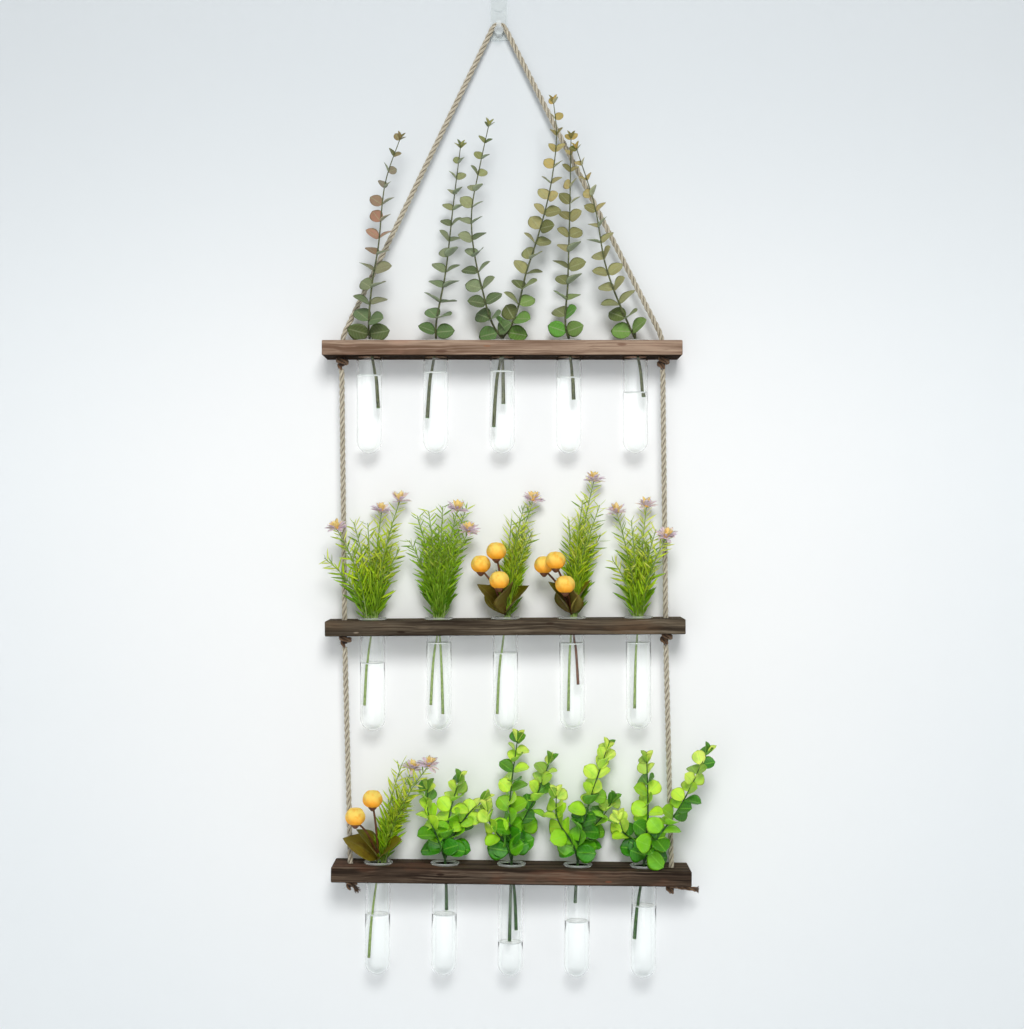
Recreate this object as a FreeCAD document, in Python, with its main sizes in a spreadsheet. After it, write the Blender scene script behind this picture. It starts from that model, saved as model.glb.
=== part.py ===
import FreeCAD, Part
import math
import os

import Sketcher
from FreeCAD import Placement, Rotation, Vector

# A wall-hung propagation vase: three planks on one knotted rope, five glass test tubes in each.
# Millimetres. X to the right, Y into the wall, Z up. The origin is the middle of the hook's back,
# on the wall, so everything hangs in front of it at negative Y.

os.makedirs("parts", exist_ok=True)
document = FreeCAD.newDocument("propagation_vase")

# Driving sizes first, sizes worked out from them after.
rows = [
    ("plank_length", "356"), ("plank_depth", "52"), ("plank_thickness", "15"),
    ("plank_chamfer", "0.8"), ("plank_to_wall", "2"),
    ("top_plank_drop", "341.5"), ("middle_plank_drop", "276.4"), ("bottom_plank_drop", "246"),
    ("top_plank_shift", "3.5"), ("middle_plank_shift", "3"), ("bottom_plank_shift", "6"),
    ("top_plank_tilt", "0"), ("middle_plank_tilt", "-0.37"), ("bottom_plank_tilt", "0.73"),
    ("tube_pitch", "66.5"), ("tube_diameter", "25"), ("tube_wall", "1.2"), ("tube_length", "111"),
    ("lip_width", "2"), ("lip_height", "2.2"), ("lip_round", "0.8"), ("tube_clearance", "0.5"),
    ("rope_diameter", "5.5"), ("rope_hole_inset", "17.5"), ("rope_hole_clearance", "1.6"),
    ("rope_entry_height", "4"), ("rope_entry_radius", "14"),
    ("knot_width", "16"), ("knot_depth", "14"), ("knot_height", "10"),
    ("tail_length", "20"), ("tail_diameter", "4.6"),
    ("clearance", "0.3"), ("overrun", "1"),
    ("hook_width", "17"), ("hook_height", "50"), ("hook_plate", "2"),
    ("hook_boss_height", "1.2"), ("hook_boss_diameter", "15.6"), ("hook_boss_rise", "11.4"),
    ("hook_arm_diameter", "9.2"), ("hook_arm_drop", "19.5"), ("hook_seat_depth", "8"),
    ("hook_tongue_width", "5"), ("hook_tongue_thickness", "2.4"), ("hook_tongue_rise", "7.7"),
    ("pad_margin", "1"), ("pad_thickness", "1"),
    ("stem_diameter", "2.6"), ("twig_diameter", "1.8"), ("stem_clearance", "0.4"),
    ("leaf_thickness", "1.1"), ("leaf_bite", "0.6"),
    ("spray_height", "200"), ("spray_leaf", "9.5"), ("spray_leaf_gap", "17.5"),
    ("spray_leaf_start", "22"),
    ("bush_height", "118"), ("bush_spread", "46"), ("sprig_width", "11"), ("sprig_tip_width", "3"),
    ("bloom_diameter", "14"), ("bud_diameter", "19"), ("broad_leaf_length", "34"), ("broad_leaf_width", "15"),
    ("round_spray_height", "128"), ("round_spray_spread", "44"), ("round_leaf", "8.5"),
    ("round_leaf_gap", "12.5"), ("round_leaf_start", "18"), ("bundle_diameter", "11"), ("bundle_height", "9"),
    ("plank_half", "=plank_length / 2"), ("plank_half_depth", "=plank_depth / 2"),
    ("plank_half_thickness", "=plank_thickness / 2"),
    ("plank_middle", "=plank_to_wall + plank_half_depth"),
    ("tube_radius", "=tube_diameter / 2"), ("tube_bore_radius", "=tube_radius - tube_wall"),
    ("tube_pitch_twice", "=tube_pitch * 2"),
    ("tube_hole_radius", "=tube_radius + tube_clearance"),
    ("lip_radius", "=tube_radius + lip_width"),
    ("tube_shoulder", "=tube_length - tube_radius"), ("tube_floor", "=tube_length - tube_wall"),
    ("rope_radius", "=rope_diameter / 2"), ("rope_hole_radius", "=rope_radius + rope_hole_clearance"),
    ("rope_place", "=plank_half - rope_hole_inset"),
    ("hook_half", "=hook_width / 2"), ("hook_half_height", "=hook_height / 2"),
    ("hook_arm_radius", "=hook_arm_diameter / 2"), ("hook_round_place", "=hook_half_height - hook_half"),
    ("hook_boss_radius", "=hook_boss_diameter / 2"), ("hook_face", "=pad_thickness + hook_plate"),
    ("pad_half", "=hook_half - pad_margin"), ("pad_foot", "=hook_half_height - pad_margin"),
    ("hook_tongue_half", "=hook_tongue_width / 2"), ("hook_tongue_top", "=hook_tongue_rise - hook_arm_drop"),
    ("hook_tongue_place", "=hook_face + hook_seat_depth * 2"),
    ("rope_bend_radius", "=hook_arm_radius + clearance + rope_radius"),
    ("rope_seat_place", "=hook_face + hook_seat_depth"),
    ("hook_arm_length", "=hook_seat_depth * 2 + hook_tongue_thickness"),
    ("knot_rise", "=knot_height / 2 * (1 - sqrt(1 - (2 * rope_hole_radius / knot_width) ^ 2))"),
    ("knot_place", "=plank_half_thickness + clearance - knot_rise + knot_height / 2"),
    ("rope_foot", "=plank_half_thickness - knot_rise"),
]
sheet = document.addObject("Spreadsheet::Sheet", "Sizes")
for row, (alias, content) in enumerate(rows, start=1):
    sheet.set(f"A{row}", alias)
    sheet.set(f"B{row}", content)
    sheet.setAlias(f"B{row}", alias)
document.recompute()


def size(alias):
    """The sheet's value: 0, an alias, or an alias with a minus sign before it."""
    if alias == "0":
        return 0.0
    if alias.startswith("-"):
        return -float(sheet.get(alias[1:]))
    return float(sheet.get(alias))


def cell(alias):
    """The expression that binds a property to that value."""
    return f"-Sizes.{alias[1:]}" if alias.startswith("-") else f"Sizes.{alias}"


def new_body(name):
    body = document.addObject("PartDesign::Body", name)
    body.Label = name
    return body


def new_sketch(body, name, role, offset="0"):
    """A sketch on one of the body's own origin planes, moved off it along its normal."""
    sketch = body.newObject("Sketcher::SketchObject", f"{body.Name}_{name}")
    plane = next(feature for feature in body.Origin.OriginFeatures if feature.Role == role)
    sketch.AttachmentSupport = [(plane, "")]
    sketch.MapMode = "FlatFace"
    if offset != "0":
        sketch.setExpression("AttachmentOffset.Base.z", cell(offset))
    return sketch


def bind(sketch, kind, place, name, alias):
    """Holds a point of the sketch at a sheet value from the origin, or on the axis where it is 0."""
    if alias == "0":
        axis = -2 if kind == "DistanceX" else -1
        sketch.addConstraint(Sketcher.Constraint("PointOnObject", *place, axis))
        return
    index = sketch.addConstraint(Sketcher.Constraint(kind, -1, 1, *place, size(alias)))
    sketch.renameConstraint(index, name)
    sketch.setExpression(f"Constraints.{name}", cell(alias))


def outline(sketch, corners):
    """A closed outline. A corner is x, y and, where an arc about a point of the upright axis
    runs on from it, that point's height and the way the arc turns."""
    places = [Vector(size(corner[0]), size(corner[1]), 0) for corner in corners]
    starts, ends = [], []
    for number, corner in enumerate(corners):
        start, end = places[number], places[(number + 1) % len(places)]
        if len(corner) > 2:
            centre = Vector(0, size(corner[2]), 0)
            first, last = (start, end) if corner[3] > 0 else (end, start)
            circle = Part.Circle(centre, Vector(0, 0, 1), (start - centre).Length)
            angles = [math.atan2(*reversed((point - centre)[:2])) for point in (first, last)]
            index = sketch.addGeometry(Part.ArcOfCircle(circle, *angles))
            starts.append((index, 1 if corner[3] > 0 else 2))
            ends.append((index, 2 if corner[3] > 0 else 1))
            if start.y == end.y:
                bind(sketch, "DistanceY", (index, 3), f"centre_{number}", corner[2])
            else:
                sketch.addConstraint(Sketcher.Constraint("PointOnObject", index, 3, -2))
        else:
            index = sketch.addGeometry(Part.LineSegment(start, end))
            starts.append((index, 1))
            ends.append((index, 2))
    for number, corner in enumerate(corners):
        following = starts[(number + 1) % len(starts)]
        sketch.addConstraint(Sketcher.Constraint("Coincident", *ends[number], *following))
        bind(sketch, "DistanceX", starts[number], f"across_{number}", corner[0])
        bind(sketch, "DistanceY", starts[number], f"up_{number}", corner[1])


def round_outline(sketch, radius, across="0", up="0"):
    index = sketch.addGeometry(
        Part.Circle(Vector(size(across), size(up), 0), Vector(0, 0, 1), size(radius))
    )
    bind(sketch, "DistanceX", (index, 3), f"across_{index}", across)
    bind(sketch, "DistanceY", (index, 3), f"up_{index}", up)
    number = sketch.addConstraint(Sketcher.Constraint("Radius", index, size(radius)))
    sketch.renameConstraint(number, f"radius_{index}")
    sketch.setExpression(f"Constraints.radius_{index}", cell(radius))


def pad(body, sketch, length, symmetric=False):
    feature = body.newObject("PartDesign::Pad", f"{sketch.Name}_pad")
    feature.Profile = sketch
    feature.SideType = "Symmetric" if symmetric else "One side"
    feature.setExpression("Length", cell(length))
    return feature


def through_pocket(body, sketch):
    feature = body.newObject("PartDesign::Pocket", f"{sketch.Name}_pocket")
    feature.Profile = sketch
    feature.SideType = "Symmetric"
    feature.Type = "ThroughAll"
    return feature


def solid_feature(name, shape, placement=Placement()):
    feature = document.addObject("Part::Feature", name)
    feature.Label = name
    feature.Shape = shape
    feature.Placement = placement
    return feature


# The three tiers: where each plank's middle is, and its small tilt, as its rope ends were knotted.
def tier_placement(tier):
    names = ["top", "middle", "bottom"][: tier + 1]
    across = sum(size(f"{name}_plank_shift") for name in names)
    down = sum(size(f"{name}_plank_drop") for name in names)
    tilt = Rotation(Vector(0, 1, 0), size(f"{names[-1]}_plank_tilt"))
    return Placement(Vector(across, -size("plank_middle"), -down), tilt)


def in_tier(tier, across, depth, up):
    return tier_placement(tier).multVec(Vector(across, depth, up))


def placed_in_tier(tier, across, depth, up):
    return tier_placement(tier).multiply(Placement(Vector(across, depth, up), Rotation()))


tiers = ["top", "middle", "bottom"]
sides = {"left": -1, "right": 1}
columns = [-2, -1, 0, 1, 2]


def make_adhesive_pad():
    body = new_body("adhesive_pad")
    sketch = new_sketch(body, "outline", "XZ_Plane")
    outline(sketch, [
        ("-pad_half", "-pad_foot"), ("pad_half", "-pad_foot"),
        ("pad_half", "hook_round_place", "hook_round_place", 1), ("-pad_half", "hook_round_place"),
    ])
    pad(body, sketch, "pad_thickness")
    return body


def make_wall_hook():
    """The back plate with its round boss, the arm that the rope lies over and the tongue before it."""
    body = new_body("wall_hook")
    plate = new_sketch(body, "plate", "XZ_Plane", "pad_thickness")
    outline(plate, [
        ("-hook_half", "-hook_half_height"), ("hook_half", "-hook_half_height"),
        ("hook_half", "hook_round_place", "hook_round_place", 1), ("-hook_half", "hook_round_place"),
    ])
    pad(body, plate, "hook_plate")
    boss = new_sketch(body, "boss", "XZ_Plane", "hook_face")
    round_outline(boss, "hook_boss_radius", "0", "hook_boss_rise")
    pad(body, boss, "hook_boss_height")
    arm = new_sketch(body, "arm", "XZ_Plane", "hook_face")
    round_outline(arm, "hook_arm_radius", "0", "-hook_arm_drop")
    pad(body, arm, "hook_arm_length")
    tongue = new_sketch(body, "tongue", "XZ_Plane", "hook_tongue_place")
    outline(tongue, [
        ("-hook_tongue_half", "-hook_arm_drop"), ("hook_tongue_half", "-hook_arm_drop"),
        ("hook_tongue_half", "hook_tongue_top", "hook_tongue_top", 1),
        ("-hook_tongue_half", "hook_tongue_top"),
    ])
    pad(body, tongue, "hook_tongue_thickness")
    return body


def make_plank(tier):
    """A plank with five tube holes, a rope hole near each end and its edges eased."""
    body = new_body(f"{tiers[tier]}_plank")
    board = new_sketch(body, "board", "XY_Plane")
    outline(board, [
        ("-plank_half", "-plank_half_depth"), ("plank_half", "-plank_half_depth"),
        ("plank_half", "plank_half_depth"), ("-plank_half", "plank_half_depth"),
    ])
    board_pad = pad(body, board, "plank_thickness", symmetric=True)
    document.recompute()
    easing = body.newObject("PartDesign::Chamfer", f"{body.Name}_easing")
    easing.Base = (board_pad, [f"Edge{n + 1}" for n in range(len(board_pad.Shape.Edges))])
    easing.setExpression("Size", cell("plank_chamfer"))
    rope_holes = new_sketch(body, "rope_holes", "XY_Plane")
    round_outline(rope_holes, "rope_hole_radius", "rope_place")
    round_outline(rope_holes, "rope_hole_radius", "-rope_place")
    through_pocket(body, rope_holes)
    tube_holes = new_sketch(body, "tube_holes", "XY_Plane")
    for place in ("0", "tube_pitch", "-tube_pitch", "tube_pitch_twice", "-tube_pitch_twice"):
        round_outline(tube_holes, "tube_hole_radius", place)
    through_pocket(body, tube_holes)
    body.Placement = tier_placement(tier)
    return body


same_share = 1e-6


def make_tube(tier, column):
    """A glass test tube turned about its axis. Its lip's underside is at height 0."""
    body = new_body(f"{tiers[tier]}_tube_{column + 3}")
    wall = new_sketch(body, "wall", "XZ_Plane")
    outline(wall, [
        ("0", "-tube_length", "-tube_shoulder", 1), ("tube_radius", "-tube_shoulder"),
        ("tube_radius", "0"), ("lip_radius", "0"), ("lip_radius", "lip_height"),
        ("tube_bore_radius", "lip_height"), ("tube_bore_radius", "-tube_shoulder", "-tube_shoulder", -1),
        ("0", "-tube_floor"),
    ])
    turned = body.newObject("PartDesign::Revolution", f"{body.Name}_turned")
    turned.Profile = wall
    turned.ReferenceAxis = (wall, ["V_Axis"])
    document.recompute()
    around = 2 * math.pi * size("lip_radius")
    rim = [
        f"Edge{number}" for number, edge in enumerate(turned.Shape.Edges, start=1)
        if math.isclose(edge.Length, around, rel_tol=same_share)
    ]
    soft_lip = body.newObject("PartDesign::Fillet", f"{body.Name}_soft_lip")
    soft_lip.Base = (turned, rim)
    soft_lip.setExpression("Radius", cell("lip_round"))
    body.Placement = placed_in_tier(tier, column * size("tube_pitch"), 0, size("plank_half_thickness"))
    return body


# The rope: a bend over the hook, two slanting stretches and two upright pairs, knotted under each plank.
def rounded_route(points, radius):
    """Straight runs joined by tangent arcs."""
    edges, here = [], points[0]
    for before, corner, after in zip(points, points[1:], points[2:]):
        back = (before - corner).normalize()
        on = (after - corner).normalize()
        half_turn = (math.pi - back.getAngle(on)) / 2
        reach = radius * math.tan(half_turn)
        into, out = corner + back * reach, corner + on * reach
        inward = (back + on).normalize()
        middle = corner + inward * (radius / math.cos(half_turn) - radius)
        edges += [Part.LineSegment(here, into).toShape(), Part.Arc(into, middle, out).toShape()]
        here = out
    edges.append(Part.LineSegment(here, points[-1]).toShape())
    return Part.Wire(edges)


def swept(route, radius):
    """A round section carried along a route."""
    start = route.Edges[0]
    begin = start.valueAt(start.FirstParameter)
    section = Part.Wire(Part.makeCircle(radius, begin, start.tangentAt(start.FirstParameter)))
    shell = Part.BRepOffsetAPI.MakePipeShell(route)
    shell.add(section)
    shell.build()
    shell.makeSolid()
    return shell.shape()


def print_rope(name, route, shape, domes):
    """Its length, its arcs' radii, and its volume against that of its section along its length."""
    radii = [round(edge.Curve.Radius, 1) for edge in route.Edges if hasattr(edge.Curve, "Radius")]
    section = math.pi * size("rope_radius") ** 2
    expected = section * route.Length + domes * 2 / 3 * section * size("rope_radius")
    print(name, "length", round(route.Length, 1), "mm, arc radii", radii, "mm, volume",
          round(shape.Volume), "mm3 against", round(expected), "mm3")


def rope_entry(side):
    """Where a slanting stretch straightens up, just above the top plank's hole."""
    return in_tier(0, side * size("rope_place"), 0, size("plank_half_thickness") + size("rope_entry_height"))


def bend_angle(side):
    """The turn from upright at which a slanting stretch leaves the hook's arm, in radians."""
    low = rope_entry(side)
    reach = math.hypot(low.x, low.z + size("hook_arm_drop"))
    lean = math.atan2(abs(low.x), -low.z - size("hook_arm_drop"))
    return lean - math.asin(size("rope_bend_radius") / reach)


def bend_point(side, angle):
    """A point of the rope's line over the arm, at an angle above the arm's level."""
    radius = size("rope_bend_radius")
    rise = radius * math.sin(angle) - size("hook_arm_drop")
    return Vector(side * radius * math.cos(angle), -size("rope_seat_place"), rise)


def make_rope_bend():
    gap_angle = (size("rope_radius") + size("clearance")) / size("rope_bend_radius")
    top = bend_point(1, math.pi / 2)
    ends = [bend_point(side, bend_angle(side) + gap_angle) for side in (-1, 1)]
    route = Part.Wire([Part.Arc(ends[0], top, ends[1]).toShape()])
    bend = swept(route, size("rope_radius"))
    print_rope("rope_bend", route, bend, domes=0)
    return solid_feature("rope_bend", bend)


def make_slanting_rope(name, side):
    """From the hook, domed where it turns, down to the top plank's hole and through it."""
    foot = in_tier(0, side * size("rope_place"), 0, -size("rope_foot"))
    points = [bend_point(side, bend_angle(side)), rope_entry(side), foot]
    route = rounded_route(points, size("rope_entry_radius"))
    dome = Part.makeSphere(size("rope_radius"), points[0])
    rope = swept(route, size("rope_radius")).fuse(dome).removeSplitter()
    print_rope(f"top_rope_{name}", route, rope, domes=1)
    return solid_feature(f"top_rope_{name}", rope)


def hang_point(tier, side):
    """Where a stretch hangs from the knot under the plank above it: the middle of its domed top."""
    drop = size("knot_place") + size("knot_height") / 2 + size("clearance") + size("rope_radius")
    return in_tier(tier - 1, side * size("rope_place"), 0, -drop)


def make_upright_rope(tier, name, side):
    """From the knot under one plank, through the next plank's hole."""
    top = hang_point(tier, side)
    foot = in_tier(tier, side * size("rope_place"), 0, -size("rope_foot"))
    route = Part.makePolygon([top, foot])
    dome = Part.makeSphere(size("rope_radius"), top)
    rope = swept(route, size("rope_radius")).fuse(dome).removeSplitter()
    print_rope(f"{tiers[tier]}_rope_{name}", route, rope, domes=1)
    return solid_feature(f"{tiers[tier]}_rope_{name}", rope)


def make_knot(tier, name, side):
    knot = document.addObject("Part::Ellipsoid", f"{tiers[tier]}_knot_{name}")
    knot.Label = knot.Name
    knot.setExpression("Radius1", "Sizes.knot_height / 2")
    knot.setExpression("Radius2", "Sizes.knot_width / 2")
    knot.setExpression("Radius3", "Sizes.knot_depth / 2")
    knot.Placement = placed_in_tier(tier, side * size("rope_place"), 0, -size("knot_place"))
    return knot


tail_direction_shares = {"left": (0.5, -0.85, -0.3), "right": (1, -0.15, -0.08)}
tail_length_shares = {"left": 0.55, "right": 1.0}


def make_rope_end(name, side):
    """The frayed end that sticks out of a bottom knot, towards the right on both sides."""
    direction = Vector(*tail_direction_shares[name]).normalize()
    reach = Vector(
        direction.x * size("knot_width"), direction.y * size("knot_depth"), direction.z * size("knot_height")
    ).Length / 2
    knot_middle = in_tier(2, side * size("rope_place"), 0, -size("knot_place"))
    start = knot_middle + direction * (reach + size("clearance"))
    tail = Part.makeCylinder(
        size("tail_diameter") / 2, size("tail_length") * tail_length_shares[name], start, direction
    )
    return solid_feature(f"rope_end_{name}", tail)


# The cuttings. Each is one grown piece: stems standing in the tube, and what they carry above it.
# Places are in the tube's own frame, from its axis at the top of the plank.
def local_point(shares, across, depth, height):
    return Vector(shares[0] * across, shares[1] * depth, shares[2] * height)


def stem_in_tube(foot_shares, rim_shares):
    """A straight stem from near the tube's wall up through its mouth."""
    reach = size("tube_bore_radius") - size("stem_diameter") / 2 - size("stem_clearance")
    foot = local_point(foot_shares, reach, reach, -size("tube_length"))
    rim = local_point(rim_shares, reach, reach, size("bundle_height"))
    radius = size("stem_diameter") / 2
    return Part.makeCylinder(radius, (rim - foot).Length, foot, rim - foot), rim


def grown_stem(points, radius):
    """A stem through points, in straight runs."""
    shell = Part.BRepOffsetAPI.MakePipeShell(Part.makePolygon(points))
    shell.add(Part.Wire(Part.makeCircle(radius, points[0], points[1] - points[0])))
    shell.setTransitionMode(1)
    shell.build()
    shell.makeSolid()
    return shell.shape()


def leaf_disc(base, along, outward, radius, rise, turn):
    """A round leaf on a stem: a disc that leaves it outwards, rises with it and is turned about its rib."""
    rib = (outward * math.cos(rise) + along * math.sin(rise)).normalize()
    normal = Rotation(rib, math.degrees(turn)).multVec(along - rib * along.dot(rib)).normalize()
    thickness = size("leaf_thickness")
    centre = base + rib * (radius - size("leaf_bite")) - normal * thickness / 2
    return Part.makeCylinder(radius, thickness, centre, normal)


def points_along(points, gap, first, last):
    """Places at even gaps along straight runs, each with the direction of its run."""
    total = sum((b - a).Length for a, b in zip(points, points[1:]))
    count = max(2, int(round((total - first - last) / gap)) + 1)
    for number in range(count):
        travel = first + (total - first - last) * number / (count - 1)
        for a, b in zip(points, points[1:]):
            length = (b - a).Length
            if travel <= length + 1e-9:
                yield number / (count - 1), a + (b - a) * (travel / length), (b - a).normalize()
                break
            travel -= length


def paired_leaves(points, gap, first, last, low_radius, high_radius, front_turn):
    """Pairs of round leaves up a stem, each pair turned from the one below it."""
    leaves = []
    for share, place, along in points_along(points, gap, first, last):
        radius = low_radius + (high_radius - low_radius) * share
        turn_of_pair = pair_turns[len(leaves) // 2 % len(pair_turns)]
        across = Vector(math.cos(turn_of_pair), -math.sin(turn_of_pair), 0)
        outwards = (across - along * along.dot(across)).normalize()
        for side in (1, -1):
            outward = outwards * side
            leaves.append(leaf_disc(place, along, outward, radius, leaf_rise, side * front_turn))
    return leaves


pair_turns = [math.radians(angle) for angle in (10, 50, -25, 35)]
leaf_rise = math.radians(22)
leaf_turn = math.radians(24)
tip_leaf_share = 0.34
round_tip_leaf_share = 0.65

# Eucalyptus in the top tier: each stem's places as shares of the spray's height, from its rim up.
spray_stem_shares = {
    -2: [[(0.0, -0.03, 0.05), (0.023, -0.085, 0.3), (0.048, -0.1, 0.435), (0.098, -0.12, 0.815),
          (0.163, -0.13, 0.995)]],
    -1: [[(0.0, -0.01, 0.05), (0.05, -0.04, 0.35), (0.09, -0.07, 0.7), (0.125, -0.09, 0.98)]],
    0: [
        [(-0.03, 0.0, 0.06), (-0.1, -0.05, 0.26), (-0.15, -0.08, 0.63), (-0.11, -0.1, 0.85),
         (-0.065, -0.11, 1.055)],
        [(0.03, 0.0, 0.06), (0.125, -0.06, 0.36), (0.175, -0.09, 0.51), (0.24, -0.2, 0.76),
         (0.265, -0.24, 1.01), (0.25, -0.25, 1.15)],
    ],
    1: [[(-0.01, 0.0, 0.05), (-0.005, -0.04, 0.3), (0.004, -0.07, 0.65), (0.01, -0.12, 1.02)]],
    2: [[(-0.02, 0.0, 0.06), (-0.15, -0.05, 0.36), (-0.21, -0.06, 0.665), (-0.3, -0.02, 0.945)]],
}
spray_foot_shares = {
    -2: [(0.85, 0.5, 0.59)], -1: [(-0.85, 0.5, 0.68)], 0: [(-0.85, 0.5, 0.76), (0.1, 0.98, 0.55)],
    1: [(0.5, 0.85, 0.51)], 2: [(0.85, 0.5, 0.5)],
}

# Leafy bushes in the middle tier, and one in the bottom tier: where each sprig's tip is, as shares of
# the bush's spread, spread and height.
bush_tip_shares = {
    (1, -2): [(-0.98, -0.5, 0.53), (-0.7, -0.62, 0.77), (-0.4, 0.1, 0.83), (-0.07, -0.2, 0.82),
              (0.2, 0.2, 0.91), (0.46, -0.25, 0.8), (0.6, 0.15, 1.0), (0.62, -0.1, 0.6)],
    (1, -1): [(-0.62, -0.2, 0.67), (-0.46, 0.15, 0.88), (-0.2, -0.1, 0.92), (0.1, 0.15, 0.96),
              (0.42, -0.15, 0.92), (0.62, 0.2, 0.95), (0.66, -0.2, 0.74)],
    (1, 0): [(0.15, 0.1, 0.84), (0.42, -0.1, 0.95), (0.62, 0.15, 1.0), (0.6, -0.15, 0.74)],
    (1, 1): [(-0.04, 0.15, 0.84), (0.25, -0.1, 1.0), (0.5, 0.1, 1.16), (0.62, -0.15, 0.96),
             (0.64, 0.1, 0.7)],
    (1, 2): [(-0.56, -0.1, 0.5), (-0.44, 0.15, 0.89), (-0.15, -0.15, 0.83), (0.2, 0.1, 0.94),
             (0.36, -0.45, 0.75), (0.56, -0.62, 0.68)],
    (2, -2): [(0.5, -0.1, 0.86), (0.8, 0.1, 0.8), (1.1, -0.1, 0.86), (0.66, -0.25, 0.55)],
}
# Small flowers at the tips of some sprigs, by their number in the bush.
bloomed_sprigs = {
    (1, -2): [1, 4, 6], (1, -1): [4, 6], (1, 0): [2], (1, 1): [2], (1, 2): [1, 3, 5], (2, -2): [1, 2],
}
# Yellow buds on bare stalks and broad leaves at the mouth.
bud_place_shares = {
    (1, 0): [(-0.18, -0.5, 0.58), (-0.52, -0.3, 0.47), (-0.12, -0.75, 0.34)],
    (1, 1): [(-0.6, -0.3, 0.46), (-0.36, -0.7, 0.5), (-0.16, -0.75, 0.3)],
    (2, -2): [(-0.44, -0.9, 0.45), (-0.1, -0.6, 0.58)],
}
broad_leaf_shares = {
    (1, 0): [(-0.6, -0.3, 0.6), (0.1, -0.6, 0.7), (-0.3, 0.3, 1.0)],
    (1, 1): [(-0.6, -0.2, 0.6), (0.3, -0.6, 0.7), (-0.1, 0.3, 1.0)],
    (2, -2): [(-0.85, -0.45, 0.55), (-0.4, -0.5, 0.9), (0.35, -0.5, 0.5)],
}
# Round-leaved sprays in the bottom tier: each stem's places as shares of the spread, spread and height.
round_stem_shares = {
    -1: [
        [(0.0, -0.05, 0.1), (0.1, -0.1, 0.4), (0.3, -0.1, 0.66)],
        [(-0.1, -0.2, 0.16), (-0.4, -0.3, 0.45), (-0.4, -0.3, 0.6)],
        [(0.15, 0.15, 0.18), (0.6, 0.1, 0.42), (0.86, 0.1, 0.5)],
    ],
    0: [
        [(0.0, -0.05, 0.1), (-0.05, -0.1, 0.5), (0.1, -0.1, 0.98)],
        [(0.1, 0.1, 0.2), (0.6, 0.1, 0.58), (0.84, 0.1, 0.8)],
        [(-0.1, -0.2, 0.16), (-0.5, -0.2, 0.34), (-0.56, -0.2, 0.44)],
    ],
    1: [
        [(0.0, -0.05, 0.1), (0.2, -0.1, 0.45), (0.62, -0.1, 0.92)],
        [(-0.1, -0.2, 0.16), (-0.5, -0.25, 0.4), (-0.52, -0.25, 0.56)],
        [(0.15, 0.15, 0.2), (0.6, 0.15, 0.4), (0.76, 0.1, 0.5)],
    ],
    2: [
        [(0.0, -0.05, 0.1), (0.1, -0.15, 0.4), (0.05, -0.2, 0.84)],
        [(0.1, -0.3, 0.18), (0.7, -0.5, 0.5), (1.3, -0.55, 0.92)],
        [(-0.1, 0.1, 0.14), (-0.5, 0.1, 0.28), (-0.56, 0.1, 0.36)],
    ],
}
stem_foot_shares = {
    (1, -2): [(-0.85, 0.5, 0.775)],
    (1, -1): [(-0.85, 0.5, 0.775), (0.3, 0.94, 0.86)],
    (1, 0): [(-0.85, 0.5, 0.86)],
    (1, 1): [(-0.35, 0.92, 0.84), (0.6, 0.78, 0.6)],
    (1, 2): [(-0.35, 0.92, 0.82)],
    (2, -2): [(-0.85, 0.5, 0.86)],
    (2, -1): [(0.2, 0.97, 0.43)],
    (2, 0): [(-0.1, 0.98, 0.72), (0.6, 0.78, 0.6)],
    (2, 1): [(-0.2, 0.97, 0.35)],
    (2, 2): [(-0.85, 0.5, 0.66)],
}
rim_shares = (0.0, 0.46, 0.5)
bundle_foot_share = 0.7


def joined(pieces):
    return pieces[0].fuse(pieces[1:])


def stems_from_tube(foot_shares):
    """The stems in the tube and the bundle that they make at its mouth."""
    pieces = []
    for number, foot in enumerate(foot_shares):
        stem, rim = stem_in_tube(foot, rim_shares)
        pieces.append(stem)
    radius, height = size("bundle_diameter") / 2, size("bundle_height")
    foot = Vector(0, rim.y - size("stem_diameter"), size("lip_height") / 2)
    pieces.append(Part.makeCone(radius * bundle_foot_share, radius, height, foot))
    return pieces, rim


def make_spray(column):
    """Eucalyptus: long stems with pairs of round leaves that grow smaller towards the tip."""
    height, leaf = size("spray_height"), size("spray_leaf")
    pieces, rim = stems_from_tube(spray_foot_shares[column])
    for shares in spray_stem_shares[column]:
        points = [rim] + [local_point(place, height, height, height) for place in shares]
        pieces.append(grown_stem(points, size("twig_diameter") / 2))
        pieces += paired_leaves(
            points, size("spray_leaf_gap"), size("spray_leaf_start"), size("stem_diameter"),
            leaf, leaf * tip_leaf_share, leaf_turn,
        )
    return joined(pieces)


def sprig(foot, tip):
    """A needle-leaved sprig's outer shape: a spindle that is widest a third of the way up."""
    length = (tip - foot).Length
    wide, thin = size("sprig_width") / 2, size("sprig_tip_width") / 2
    half = [Vector(0, 0, 0), Vector(thin, 0, 0), Vector(wide, 0, length * belly_share),
            Vector(thin, 0, length), Vector(0, 0, length), Vector(0, 0, 0)]
    spindle = Part.Face(Part.makePolygon(half)).revolve(Vector(), Vector(0, 0, 1), 360)
    spindle.Placement = Placement(foot, Rotation(Vector(0, 0, 1), tip - foot))
    return spindle


belly_share = 0.35


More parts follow.
